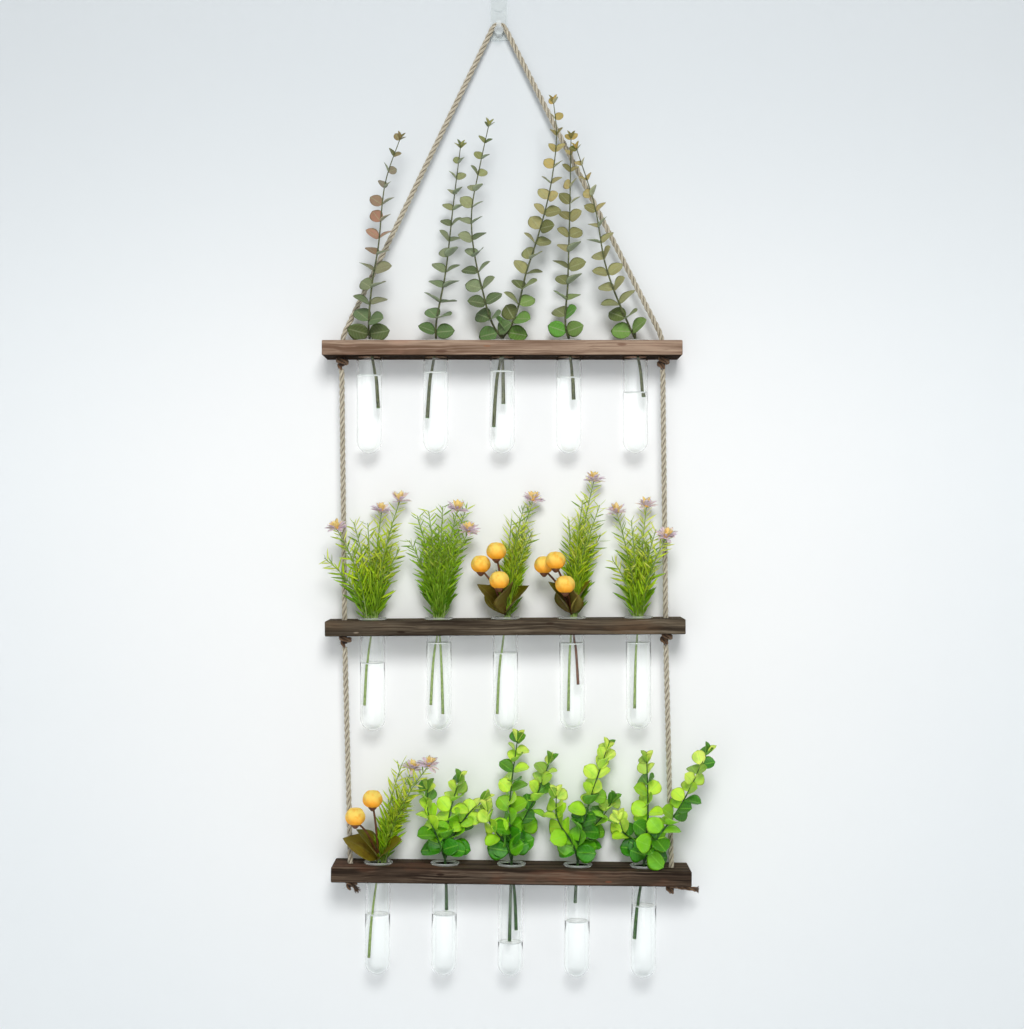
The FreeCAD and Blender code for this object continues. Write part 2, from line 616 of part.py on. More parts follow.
def make_bush(tier, column):
    """Sprigs that spread from the mouth, with small flowers, and in some tubes buds and broad leaves."""
    spread, height = size("bush_spread"), size("bush_height")
    pieces, rim = stems_from_tube(stem_foot_shares[(tier, column)])
    foot = Vector(0, rim.y - size("stem_diameter"), size("bundle_height") / 2)
    for number, shares in enumerate(bush_tip_shares[(tier, column)]):
        tip = local_point(shares, spread, spread, height)
        pieces.append(sprig(foot, tip))
        if number in bloomed_sprigs[(tier, column)]:
            inset = (foot - tip).normalize() * size("bloom_diameter") / 4
            pieces.append(Part.makeSphere(size("bloom_diameter") / 2, tip + inset))
    for shares in bud_place_shares.get((tier, column), []):
        place = local_point(shares, spread, spread, height)
        stalk = place - foot
        pieces.append(Part.makeCylinder(size("stem_diameter") / 2, stalk.Length, foot, stalk))
        pieces.append(Part.makeSphere(size("bud_diameter") / 2, place))
    for shares in broad_leaf_shares.get((tier, column), []):
        along = Vector(*shares).normalize()
        pieces.append(broad_leaf(foot, along))
    return joined(pieces)


def broad_leaf(foot, along):
    """A long pointed leaf that faces the front: two arcs between its foot and its tip."""
    length, half = size("broad_leaf_length"), size("broad_leaf_width") / 2
    tip = foot + along * length
    normal = (Vector(0, -1, 0) + along * along.y).normalize()
    across = along.cross(normal)
    middle = foot + along * (length / 2)
    edges = [
        Part.Arc(foot, middle + across * half, tip).toShape(),
        Part.Arc(tip, middle - across * half, foot).toShape(),
    ]
    return Part.Face(Part.Wire(edges)).extrude(normal * size("leaf_thickness"))


def make_round_spray(column):
    """Branching stems with pairs of small round leaves."""
    spread, height = size("round_spray_spread"), size("round_spray_height")
    pieces, rim = stems_from_tube(stem_foot_shares[(2, column)])
    foot = Vector(0, rim.y - size("stem_diameter"), size("bundle_height") / 2)
    for shares in round_stem_shares[column]:
        points = [foot] + [local_point(place, spread, spread, height) for place in shares]
        pieces.append(grown_stem(points, size("twig_diameter") / 2))
        pieces += paired_leaves(
            points, size("round_leaf_gap"), size("round_leaf_start"), size("stem_diameter"),
            size("round_leaf"), size("round_leaf") * round_tip_leaf_share, leaf_turn,
        )
    return joined(pieces)


def make_cutting(tier, column):
    if tier == 0:
        shape = make_spray(column)
    elif (tier, column) in bush_tip_shares:
        shape = make_bush(tier, column)
    else:
        shape = make_round_spray(column)
    place = placed_in_tier(tier, column * size("tube_pitch"), 0, size("plank_half_thickness"))
    return solid_feature(f"{tiers[tier]}_cutting_{column + 3}", shape, place)


subparts = [make_adhesive_pad(), make_wall_hook(), make_rope_bend()]
subparts += [make_slanting_rope(name, side) for name, side in sides.items()]
subparts += [make_upright_rope(tier, name, side) for tier in (1, 2) for name, side in sides.items()]
subparts += [make_knot(tier, name, side) for tier in range(3) for name, side in sides.items()]
subparts += [make_rope_end(name, side) for name, side in sides.items()]
subparts += [make_plank(tier) for tier in range(3)]
subparts += [make_tube(tier, column) for tier in range(3) for column in columns]
subparts += [make_cutting(tier, column) for tier in range(3) for column in columns]
document.recompute()

for item in document.Objects:
    if {"Invalid", "Error"} & set(item.State):
        raise RuntimeError(f"{item.Label} did not build: {item.State}")
for part in subparts:
    if part.Shape.isNull() or not part.Shape.isValid() or not part.Shape.Solids:
        raise RuntimeError(f"{part.Label} has no sound solid")
for part in subparts:
    part.Shape.exportStep(f"parts/{part.Label}.step")
    print(part.Label, len(part.Shape.Solids), "solids", round(part.Shape.Volume), "mm3")
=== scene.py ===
# Wall-hung propagation vase: three stained planks on one twisted rope, each with five glass tubes of
# cuttings. Shapes are worked out in millimetres and written into their meshes in metres.
import math

import bpy
import numpy as np
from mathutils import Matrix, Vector


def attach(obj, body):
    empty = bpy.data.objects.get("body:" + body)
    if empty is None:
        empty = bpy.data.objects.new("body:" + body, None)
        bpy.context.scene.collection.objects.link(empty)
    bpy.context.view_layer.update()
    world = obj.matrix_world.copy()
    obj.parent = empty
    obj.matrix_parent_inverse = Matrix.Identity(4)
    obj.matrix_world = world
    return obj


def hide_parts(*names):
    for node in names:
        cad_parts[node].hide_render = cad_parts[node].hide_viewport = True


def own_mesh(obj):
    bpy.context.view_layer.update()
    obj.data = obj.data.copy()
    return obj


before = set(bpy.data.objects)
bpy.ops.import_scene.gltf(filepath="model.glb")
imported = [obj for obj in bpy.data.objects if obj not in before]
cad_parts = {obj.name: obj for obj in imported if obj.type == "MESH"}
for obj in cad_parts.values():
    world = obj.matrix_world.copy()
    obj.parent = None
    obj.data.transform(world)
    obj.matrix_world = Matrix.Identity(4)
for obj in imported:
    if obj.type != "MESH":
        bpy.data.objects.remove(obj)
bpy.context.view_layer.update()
scene = bpy.context.scene
scene.view_settings.view_transform = "Standard"
mm = 0.001
up = np.array([0.0, 0.0, 1.0])
toViewer = np.array([0.0, -1.0, 0.0])
wholeTurn, goldenTurn = 6.2832, 2.39996
print("frame loaded:", len(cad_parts), "nodes")


# Where the planks hang, repeated from the part: their middles and small tilts.
tiers = {
    "top": {"middle": (3.5, -28, -341.5), "tilt": 0.0},
    "middle": {"middle": (6.5, -28, -617.9), "tilt": -0.37},
    "bottom": {"middle": (12.5, -28, -863.9), "tilt": 0.73},
}
plank = {"thickness": 15, "ropePlace": 160.5, "tubePitch": 66.5}
tube = {"radius": 12.5, "wall": 1.2, "length": 111, "lipRadius": 14.5, "lipHeight": 2.2, "lipRound": 0.8,
        "innerRound": 0.6, "neckRound": 0.3, "sides": 48}
halfPlank = plank["thickness"] / 2


# places in a tier's own frame, turned by its tilt about the depth axis and moved to its middle
def inTier(tier, points):
    turn = math.radians(tiers[tier]["tilt"])
    points = np.atleast_2d(np.asarray(points, float))
    across = points[:, 0] * math.cos(turn) + points[:, 2] * math.sin(turn)
    rise = points[:, 2] * math.cos(turn) - points[:, 0] * math.sin(turn)
    return np.stack([across, points[:, 1], rise], 1) + tiers[tier]["middle"]


# places about a tube's mouth, at the plank's top face
def atMouth(tier, column, points):
    return inTier(tier, np.atleast_2d(points) + [column * plank["tubePitch"], 0, halfPlank])


# a place on a rope hole's axis, at a height from the plank's middle
def atHole(tier, side, height):
    return inTier(tier, (side * plank["ropePlace"], 0, height))[0]


# The camera: level, a little above the middle of the hanger, and as far off as the planks' faces tell.
photo = {"height": 1029, "focal": 1850, "horizonRow": 527, "place": (13.2, -1878, -518.5), "sensor": 36}


def makeCamera():
    data = bpy.data.cameras.new("photoCamera")
    data.sensor_width = photo["sensor"]
    data.lens = photo["focal"] / photo["height"] * data.sensor_width
    data.shift_y = (photo["horizonRow"] - photo["height"] / 2) / photo["height"]
    camera = bpy.data.objects.new("photoCamera", data)
    camera.location = np.array(photo["place"]) * mm
    camera.rotation_euler = (math.pi / 2, 0, 0)
    scene.collection.objects.link(camera)
    scene.camera = camera


# One output socket of a shader node. Sums and products with it add Math nodes.
class Wire:
    def __init__(self, tree, socket=None):
        self.tree, self.socket = tree, socket

    # adds a node: its settings, then its sockets by name or number, each from a value or another wire
    def add(self, kind, settings=None, sockets=None, take=0):
        made = self.tree.nodes.new("ShaderNode" + kind)
        for name, value in (settings or {}).items():
            if name == "stops":
                ramp = made.color_ramp.elements
                while len(ramp) < len(value):
                    ramp.new(0.5)
                for stop, (place, colour) in zip(ramp, value):
                    stop.position, stop.color = place, linear(colour)
            else:
                setattr(made, name, value)
        for name, value in (sockets or {}).items():
            if isinstance(value, Wire):
                self.tree.links.new(value.socket, made.inputs[name])
            else:
                made.inputs[name].default_value = value
        return Wire(self.tree, made.outputs[take] if made.outputs else None)

    # another output of the same node
    def other(self, name):
        return Wire(self.tree, self.socket.node.outputs[name])

    def maths(self, operation, *values, clamp=False):
        return self.add("Math", {"operation": operation, "use_clamp": clamp}, dict(enumerate(values)))

    def __add__(self, other):
        return self.maths("ADD", self, other)

    def __sub__(self, other):
        return self.maths("SUBTRACT", self, other)

    def __rsub__(self, other):
        return self.maths("SUBTRACT", other, self)

    def __mul__(self, other):
        return self.maths("MULTIPLY", self, other)

    def __truediv__(self, other):
        return self.maths("DIVIDE", self, other)

    def __pow__(self, other):
        return self.maths("POWER", self, other)

    __radd__, __rmul__ = __add__, __mul__

    # 0 below low, 1 above high, smooth between
    def between(self, low, high):
        return self.add("MapRange", {"interpolation_type": "SMOOTHSTEP"},
                        {"Value": self, "From Min": low, "From Max": high})

    def mix(self, factor, first, second, blend="MIX"):
        first, second = (linear(c) if isinstance(c, tuple) else c for c in (first, second))
        return self.add("Mix", {"data_type": "RGBA", "blend_type": blend}, {0: factor, 6: first, 7: second}, 2)

    def noise(self, vector, scale, detail=2, roughness=0.5, **more):
        sockets = {"Vector": vector, "Scale": scale, "Detail": detail, "Roughness": roughness}
        return self.add("TexNoise", None, {**sockets, **more})

    def parts(self):
        split = self.add("SeparateXYZ", None, {0: self})
        return [Wire(self.tree, output) for output in split.socket.node.outputs]

    def joined(self, x, y, z=0.0):
        return self.add("CombineXYZ", None, {0: x, 1: y, 2: z})

    # places on the object, and the three numbers of the tone that its corners hold
    def place(self):
        return self.add("TexCoord", None, None, 3)

    def tones(self):
        return self.add("Attribute", {"attribute_name": "tone"}, None, 1).parts()

    def bump(self, strength, distance):
        return self.add("Bump", None, {"Strength": strength, "Distance": distance, "Height": self})


def newMaterial(name):
    material = bpy.data.materials.new(name)
    material.use_nodes = True
    material.node_tree.nodes.clear()
    return material, Wire(material.node_tree)


# the Principled shader and the output; see-through finishes let lamps' rays pass with a tint
def finishMaterial(wires, sockets, lampTint=None):
    shader = wires.add("BsdfPrincipled", None, sockets)
    if lampTint:
        ray = wires.add("LightPath")
        passed = ray.maths("MAXIMUM", ray.other("Is Shadow Ray"), ray.other("Is Diffuse Ray"))
        clear = wires.add("BsdfTransparent", None, {0: (*lampTint, 1)})
        shader = wires.add("MixShader", None, {0: passed, 1: shader, 2: clear})
    wires.add("OutputMaterial", None, {0: shader})


# a tone of 0 to 255 as it is seen, made linear for the shaders by the srgb curve
def linear(tone):
    return (*((c / 255 / 12.92 if c < 11 else ((c / 255 + 0.055) / 1.055) ** 2.4) for c in tone), 1)


# A piece in the making: parts' corners, faces, uv places, tones and material numbers.
class Shape:
    def __init__(self):
        self.corners, self.uv, self.tones, self.faces, self.count = [], [], [], [], 0

    def add(self, corners, faces, uv, tones, slot=0):
        corners = np.asarray(corners, float).reshape(-1, 3)
        self.corners.append(corners)
        self.uv.append(np.broadcast_to(uv, (len(corners), 2)))
        self.tones.append(np.broadcast_to(tones, (len(corners), 3)))
        slots = slot if isinstance(slot, list) else [slot] * len(faces)
        self.faces += [(rows + self.count, held) for rows, held in zip(faces, slots)]
        self.count += len(corners)

    # writes the arrays into a mesh object at the origin
    def make(self, name, materials, place=lambda points: points):
        mesh = bpy.data.meshes.new(name)
        corners = place(np.concatenate(self.corners)) * mm
        loops = np.concatenate([rows.ravel() for rows, slot in self.faces]).astype(np.int32)
        sizes = np.concatenate([np.full(len(rows), rows.shape[1]) for rows, slot in self.faces])
        slots = np.concatenate([np.full(len(rows), slot) for rows, slot in self.faces])
        mesh.vertices.add(len(corners))
        mesh.vertices.foreach_set("co", corners.ravel())
        mesh.loops.add(len(loops))
        mesh.loops.foreach_set("vertex_index", loops)
        mesh.polygons.add(len(sizes))
        mesh.polygons.foreach_set("loop_start", (np.cumsum(sizes) - sizes).astype(np.int32))
        for material in materials:
            mesh.materials.append(material)
        mesh.polygons.foreach_set("material_index", slots.astype(np.int32))
        mesh.polygons.foreach_set("use_smooth", np.ones(len(sizes), bool))
        layer = mesh.uv_layers.new(name="UVMap")
        layer.data.foreach_set("uv", np.concatenate(self.uv)[loops].ravel())
        held = mesh.attributes.new("tone", "FLOAT_VECTOR", "POINT")
        held.data.foreach_set("vector", np.concatenate(self.tones).ravel())
        mesh.update(calc_edges=True)
        made = bpy.data.objects.new(name, mesh)
        scene.collection.objects.link(made)
        return made


# faces of rings laid one after another, each joined to the next, with a fan at each end
def ringFaces(rings, around, capped=True):
    ring, step = np.meshgrid(np.arange(rings - 1), np.arange(around), indexing="ij")
    here, beside = ring * around + step, ring * around + (step + 1) % around
    faces = [np.stack([here, beside, beside + around, here + around], -1).reshape(-1, 4)]
    if capped:
        step = np.arange(around)
        low, high = rings * around, rings * around + 1
        top = (rings - 1) * around
        faces.append(np.stack([np.full(around, low), (step + 1) % around, step], 1))
        faces.append(np.stack([np.full(around, high), top + step, top + (step + 1) % around], 1))
    return faces


# one form's faces, repeated for each copy of its corners
def copyFaces(faces, copies, corners):
    starts = (np.arange(copies) * corners)[:, None, None]
    return [(rows + starts).reshape(-1, rows.shape[1]) for rows in faces]


# even steps once round, without the last, which would be the first again
def roundSteps(count):
    return np.linspace(0, 2 * np.pi, count, endpoint=False)


# uv places of rings: the share of the turn, and each ring's own height or length
def ringUv(around, heights, ends):
    grid = np.stack(np.broadcast_arrays(roundSteps(around)[None] / (2 * np.pi), heights[:, None]), -1)
    return np.concatenate([grid.reshape(-1, 2), ends])


# the way out at a turn: its cosine times one direction plus its sine times the other
def outAt(turn, side, other):
    return np.cos(turn) * side + np.sin(turn) * other


# each vector divided by its own length
def unit(vectors):
    return vectors / np.maximum(np.linalg.norm(vectors, axis=-1, keepdims=True), 1e-9)


# the length along a line up to each of its points
def runLength(line):
    return np.concatenate([[0], np.cumsum(np.linalg.norm(np.diff(line, axis=0), axis=1))])


# a round section carried along a path: each ring is the path's point plus radius times the two
# directions across it, by the cosine and sine of the turn; the path never runs along the reference
def sweep(points, radii, around, reference=(0.0, 1.0, 0.0)):
    points = np.asarray(points, float)
    along = unit(np.gradient(points, axis=0))
    side = unit(np.cross(along, reference))
    turn = roundSteps(around)[:, None]
    radii = np.broadcast_to(radii, len(points))[:, None, None]
    rings = points[:, None] + radii * outAt(turn, side[:, None], np.cross(along, side)[:, None])
    length = runLength(points)
    corners = np.concatenate([rings.reshape(-1, 3), points[:1], points[-1:]])
    return corners, ringFaces(len(points), around), ringUv(around, length, [[0.5, 0], [0.5, length[-1]]])


# a smooth line through points: between two of them a cubic whose slopes come from their neighbours
def lineThrough(points, count):
    points = np.asarray(points, float)
    length = runLength(points)
    slopes = np.gradient(points, length, axis=0)
    travel = np.linspace(0, length[-1], count)
    span = np.clip(np.searchsorted(length, travel, side="right") - 1, 0, len(points) - 2)
    step = (length[span + 1] - length[span])[:, None]
    t = (travel - length[span])[:, None] / step
    return ((2 * t**3 - 3 * t**2 + 1) * points[span] + (t**3 - 2 * t**2 + t) * step * slopes[span]
            + (3 * t**2 - 2 * t**3) * points[span + 1] + (t**3 - t**2) * step * slopes[span + 1])


# a surface turned about the upright axis: profile rows are radius and height, the first and last on the axis
def turned(profile, around):
    profile = np.asarray(profile, float)
    turn = roundSteps(around)
    reach, height = profile[1:-1, 0, None], profile[1:-1, 1, None]
    rings = np.stack(np.broadcast_arrays(reach * np.cos(turn), reach * np.sin(turn), height), -1)
    low, high = profile[0, 1], profile[-1, 1]
    corners = np.concatenate([rings.reshape(-1, 3), [[0, 0, low], [0, 0, high]]])
    return corners, ringFaces(len(rings), around), ringUv(around, height[:, 0], [[0, low], [0, high]])


# a piece rides on a body and stands for a node of the frame, which is hidden
def settle(made, body, node):
    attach(made, body)
    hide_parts(node)
    return made


# The rope: a twisted three-strand natural fibre, taut between the hook and the knots.
rope = {
    "diameter": 5.5, "strandShare": 0.47, "lay": 22, "step": 0.9, "strandSides": 12,
    "hookBend": 7.65, "hookDepth": -11, "hookDrop": -19.5, "seatTurn": 25.3, "seatMargin": 8, "straight": 6,
    "tuck": 0.8, "entryRise": 4, "knotDrop": 12.02, "knotHalf": 5, "clearance": 0.3,
    "fibreShare": 0.45, "fibreReach": 2.0, "yarns": 5, "yarnLay": 14,
    # the groove tone is painted shade where the strands and yarns meet
    "groove": (94, 83, 65), "shade": (176, 166, 143), "light": (228, 220, 200),
}
# the knots and frayed ends hang in the planks' shade and get darker tones: painted shade
knotShadeTones = {"groove": (46, 30, 20), "shade": (104, 74, 50), "light": (158, 126, 94)}


# depth is how far out a corner lies, times the yarns' sine: deep places between the strands and yarns get the
# groove's tone, a painted shade
def ropeMaterial(name, tones):
    material, wires = newMaterial(name)
    uv = wires.add("UVMap")
    turn, travel, _ = uv.parts()
    outward, strand, _ = wires.tones()
    # yarns run round each strand against the rope's lay, so their lines lean the other way
    yarnTurn = turn * rope["yarns"] + travel / rope["yarnLay"]
    yarn = wires.maths("SINE", yarnTurn * wholeTurn) * 0.5 + 0.5
    fibre = wires.noise(wires.joined(yarnTurn * 3, travel / 5, strand * 9), 1.6, 3, 0.6)
    blotch = wires.noise(wires.place(), 90, 2)
    light = wires.mix(fibre.between(0.3, 0.72), tones["shade"], tones["light"])
    light = wires.mix((blotch.between(0.42, 0.7)) * 0.35, light, tones["shade"])
    depth = outward.between(0.42, 0.92) * (0.72 + 0.28 * yarn)
    colour = wires.mix(depth, tones["groove"], light)
    bump = (yarn * 0.6 + fibre * 0.6).bump(0.6, 0.0004)
    finishMaterial(wires, {"Base Color": colour, "Roughness": 0.88, "Normal": bump, "Sheen Weight": 0.15})
    return material


# where a slanting stretch leaves the hook's arm, and its line down through the top plank
def slantingRoute(side):
    turn = math.radians(rope["seatTurn"])
    seat = np.array([
        side * rope["hookBend"] * math.cos(turn), rope["hookDepth"],
        rope["hookDrop"] + rope["hookBend"] * math.sin(turn),
    ])
    entry = atHole("top", side, halfPlank + rope["entryRise"])
    foot = atHole("top", side, -halfPlank + rope["tuck"])
    slope = unit(entry - seat)
    nearHook = seat + slope * rope["straight"] * rope["diameter"]
    nearPlank = entry - slope * np.linalg.norm(foot - entry)
    return [seat, nearHook, nearPlank, entry, foot]


# from the knot under one plank, down through the next plank
def uprightRoute(above, below, side):
    top = atHole(above, side, -halfPlank - rope["knotDrop"])
    foot = atHole(below, side, -halfPlank + rope["tuck"])
    return [top, top + unit(foot - top) * rope["straight"] * rope["diameter"], foot]


# points along the NURBS line that has the route as its control points, every step along it
def alongRoute(name, route):
    data = bpy.data.curves.new(name, "CURVE")
    data.dimensions, data.resolution_u = "3D", 64
    spline = data.splines.new("NURBS")
    spline.points.add(len(route) - 1)
    for point, place in zip(spline.points, route):
        point.co = (*(np.array(place) * mm), 1)
    spline.order_u = 3
    spline.use_endpoint_u = True
    holder = bpy.data.objects.new(name, data)
    scene.collection.objects.link(holder)
    bpy.context.view_layer.update()
    drawn = bpy.data.meshes.new_from_object(holder)
    line = np.empty(len(drawn.vertices) * 3)
    drawn.vertices.foreach_get("co", line)
    line = line.reshape(-1, 3) / mm
    bpy.data.objects.remove(holder)
    bpy.data.meshes.remove(drawn)
    return evenly(line, rope["step"])


# places and directions at given lengths along a line
def alongLine(line, travel):
    at, way = (np.stack([np.interp(travel, runLength(line), values[:, axis]) for axis in range(3)], 1)
               for values in (line, np.gradient(line, axis=0)))
    return at, unit(way)


# a line's points again, about a step apart
def evenly(line, step):
    total = runLength(line)[-1]
    return alongLine(line, np.linspace(0, total, int(total / step) + 2))[0]


# directions across a line that turn with it as little as they can: each is the one before it, made square
# to the line again
def carried(line, start):
    along = unit(np.gradient(line, axis=0))
    sides = [unit(start - along[0] * np.dot(start, along[0]))]
    for direction in along[1:]:
        sides.append(unit(sides[-1] - direction * np.dot(sides[-1], direction)))
    return along, np.array(sides)


# Three strands round a line: each strand's middle is the line plus a radius turned once for each lay
# length, and it carries a round section. A tone holds how far out a corner is, and its strand.
def addStrands(shape, line, diameter, spread=1.0, phase=0.0, start=(0.0, 1.0, 0.0)):
    along, side = carried(line, np.array(start))
    other = np.cross(along, side)
    strandRadius = diameter / 2 * rope["strandShare"]
    reach = (diameter / 2 - strandRadius) * np.broadcast_to(spread, len(line))[:, None]
    for strand in range(3):
        turn = (2 * np.pi * (runLength(line) / rope["lay"] + strand / 3) + phase)[:, None]
        middle = line + reach * outAt(turn, side, other)
        corners, faces, uv = sweep(middle, strandRadius, rope["strandSides"], start)
        nearest = np.repeat(np.arange(len(line)), rope["strandSides"])
        outward = np.linalg.norm(corners[:-2] - line[nearest], axis=1) / (diameter / 2)
        tones = np.stack([np.append(outward, [0.3, 0.3]), np.full(len(corners), strand / 3),
                          np.zeros(len(corners))], 1)
        shape.add(corners, faces, uv, tones)


# Loose fibres and the tufts at the cut ends are hairs of five points and three sides.
hair = {"halfWidth": 0.07, "tuftHalfWidth": 0.16}


# three-sided tubes along lines of five points: each ring is the point plus and minus the two directions
def addHairs(shape, lines, wide, deep, tones):
    rings = np.stack([lines + wide, lines - wide * 0.5 + deep, lines - wide * 0.5 - deep], 2)
    faces = [*ringFaces(5, 3, capped=False), np.array([[2, 1, 0], [12, 13, 14]])]
    shape.add(rings.reshape(-1, 3), copyFaces(faces, len(lines), 15), (0.5, 0.5), tones)


# loose fibres leave the rope's surface at a slant and curl: a straight way plus a square of the share
def addFibres(shape, line, diameter, count, reach, seed, outward=0.6):
    rng = np.random.default_rng(seed)
    along, side = carried(line, np.array([0.0, 1.0, 0.0]))
    spot = rng.integers(0, len(line), count)
    turn = rng.uniform(0, 2 * np.pi, count)[:, None]
    out = outAt(turn, side[spot], np.cross(along, side)[spot])
    way = unit(out * outward + along[spot] * rng.choice([-1, 1], count)[:, None] * rng.uniform(0.3, 1, (count, 1)))
    bend = unit(np.cross(way, out) * rng.uniform(-1, 1, (count, 1)) + out)
    t = np.linspace(0, 1, 5)[None, :, None]
    long = rng.uniform(0.4, 1, (count, 1, 1)) * reach
    paths = (line[spot] + out * diameter * 0.42)[:, None] + long * (way[:, None] * t + bend[:, None] * 0.5 * t**2)
    thin = hair["halfWidth"] * (1 - 0.8 * t)
    wide = unit(np.cross(way, out + 0.01))[:, None] * thin
    deep = unit(np.cross(wide, way[:, None])) * thin
    addHairs(shape, paths, wide, deep, (0.95, 0.5, 0.0))


# A tied knot under a plank: the rope comes down through its hole, wraps round itself and goes on.
knot = {"radiusAcross": 5.0, "radiusDeep": 4.1, "turns": 1.35, "rise": 2.4, "reach": 5.6, "ropeShare": 0.94,
        "step": 0.7, "coreRadius": 2.4, "coreHalf": 4.2, "fibres": 26, "fibreReach": 3.5, "half": (8, 7, 5)}


# the wrap's line: its radius is the square root of a sine, nothing at both ends, and its height is a
# straight fall plus a cube, so it drops steeply at the ends and slowly between
def knotLine(side, count=90):
    t = np.linspace(0, 1, count)
    turn = 2 * np.pi * knot["turns"] * (t - 0.5) + side * 0.6
    grow = np.sin(np.pi * t) ** 0.5
    height = -2 * knot["rise"] * (t - 0.5) - (2 * knot["reach"] - 2 * knot["rise"]) * 4 * (t - 0.5) ** 3
    across, deep = knot["radiusAcross"] * grow * np.cos(turn), knot["radiusDeep"] * grow * np.sin(turn)
    return np.stack([across, deep, height], 1)


def makeKnot(tier, name, side, material):
    drop = halfPlank + rope["clearance"] - rope["tuck"] + rope["knotHalf"]
    shape = Shape()
    line = evenly(knotLine(side), knot["step"])
    addStrands(shape, line, rope["diameter"] * knot["ropeShare"], phase=side)
    core = up * np.linspace(knot["coreHalf"], -knot["coreHalf"], 12)[:, None]
    shape.add(*sweep(core, knot["coreRadius"], 10), (0.45, 0.5, 0))
    addFibres(shape, line, rope["diameter"], knot["fibres"], knot["fibreReach"], 7 + side + len(tier))
    made = shape.make(f"{tier}_tied_knot_{name}", [material],
                      lambda points: inTier(tier, points + [side * plank["ropePlace"], 0, -drop]))
    return settle(made, f"{tier}_tier", f"{tier}_knot_{name}")


# The cut end that sticks out of a lowest knot: the strands open and end in a tuft.
tails = {
    "left": {"way": (0.5, -0.85, -0.3), "length": 11, "tuft": 0.45},
    "right": {"way": (1, -0.15, -0.08), "length": 20, "tuft": 0.35},
    "diameter": 4.6, "sunk": 1.5, "brush": 2.5, "open": 0.9, "strandShare": 0.86, "tuftShare": 0.42,
    "hairs": 90, "hairReach": 3.6, "fibres": 30, "fibreReach": 3.0,
}


def makeRopeEnd(name, side, material):
    tail = tails[name]
    way = unit(np.array(tail["way"], float))
    middle = (side * plank["ropePlace"], 0, -halfPlank + rope["tuck"] - rope["clearance"] - rope["knotHalf"])
    start = np.array(middle) + way * (np.linalg.norm(way * knot["half"]) - tails["sunk"])
    line = start + way * np.linspace(0, tail["length"] - tails["brush"], 26)[:, None]
    share = np.linspace(0, 1, len(line))
    shape = Shape()
    spread = 1 + tails["open"] * np.clip((share - 1 + tail["tuft"]) / tail["tuft"], 0, 1) ** 2
    addStrands(shape, line, tails["diameter"] * tails["strandShare"], spread, start=(0.1, 0.2, 1.0))
    addTuft(shape, line[-1], way, tails["diameter"] * tails["tuftShare"], tails["hairs"], tails["hairReach"], 11)
    addFibres(shape, line, tails["diameter"], tails["fibres"], tails["fibreReach"], 5)
    made = shape.make(f"frayed_end_{name}", [material], lambda points: inTier("bottom", points))
    return settle(made, "bottom_tier", f"rope_end_{name}")


# a tuft of cut fibres: hairs from a disc, each leaning out by how far from its middle it starts
def addTuft(shape, place, way, radius, count, reach, seed):
    rng = np.random.default_rng(seed)
    side = unit(np.cross(way, up))
    other = np.cross(way, side)
    turn, out = rng.uniform(0, 2 * np.pi, (count, 1)), rng.uniform(0, 1, (count, 1)) ** 0.5
    lean = out * outAt(turn, side, other)
    line = (place + lean * radius)[:, None] + rng.uniform(0.5, 1, (count, 1, 1)) * reach * (
        way * np.linspace(-0.3, 1, 5)[None, :, None] + lean[:, None] * np.linspace(0, 0.8, 5)[None, :, None] ** 2)
    tones = np.repeat(rng.uniform(0.6, 1, count), 15)[:, None] * [1.0, 0.0, 0.0] + [0, 0.5, 0]
    addHairs(shape, line, side * hair["tuftHalfWidth"], other * hair["tuftHalfWidth"], tones)


def makeRopes():
    # the knots and frayed ends take the darker rope tones, a painted shade
    material, dark = ropeMaterial("juteRope", rope), ropeMaterial("knotShadeRope", knotShadeTones)
    sides = {"left": -1, "right": 1}
    knots = {(tier, name): makeKnot(tier, name, side, dark) for tier in tiers for name, side in sides.items()}
    ends = {name: makeRopeEnd(name, side, dark) for name, side in sides.items()}
    # over the hook's arm: a part circle about it, drawn on into both slanting stretches
    first = rope["seatTurn"] - rope["seatMargin"]
    turn = np.radians(np.linspace(180 - first, first, 40))
    bend = np.stack([rope["hookBend"] * np.cos(turn), np.full(40, float(rope["hookDepth"])),
                     rope["hookDrop"] + rope["hookBend"] * np.sin(turn)], 1)
    shape = Shape()
    addStrands(shape, evenly(bend, 0.5), rope["diameter"])
    over = settle(shape.make("rope_over_arm", [material]), "rope_over_hook", "rope_bend")
    stretches = [("top", name, slantingRoute(side)) for name, side in sides.items()]
    for above, below in (("top", "middle"), ("middle", "bottom")):
        stretches += [(below, name, uprightRoute(above, below, side)) for name, side in sides.items()]
    for tier, name, route in stretches:
        line = alongRoute("route", route)
        shape = Shape()
        addStrands(shape, line, rope["diameter"])
        addFibres(shape, line, rope["diameter"], int(len(line) * rope["fibreShare"]), rope["fibreReach"], len(line))
        made = shape.make(f"{tier}_rope_{name}_strands", [material])
        settle(made, f"{tier}_tier", f"{tier}_rope_{name}")
        tier == "bottom"
        (tier, name) == ("top", "left")
        tuple(line[0] * mm)
        [tuple(p) for p in line * mm]
    print("rope, knots and frayed ends made")
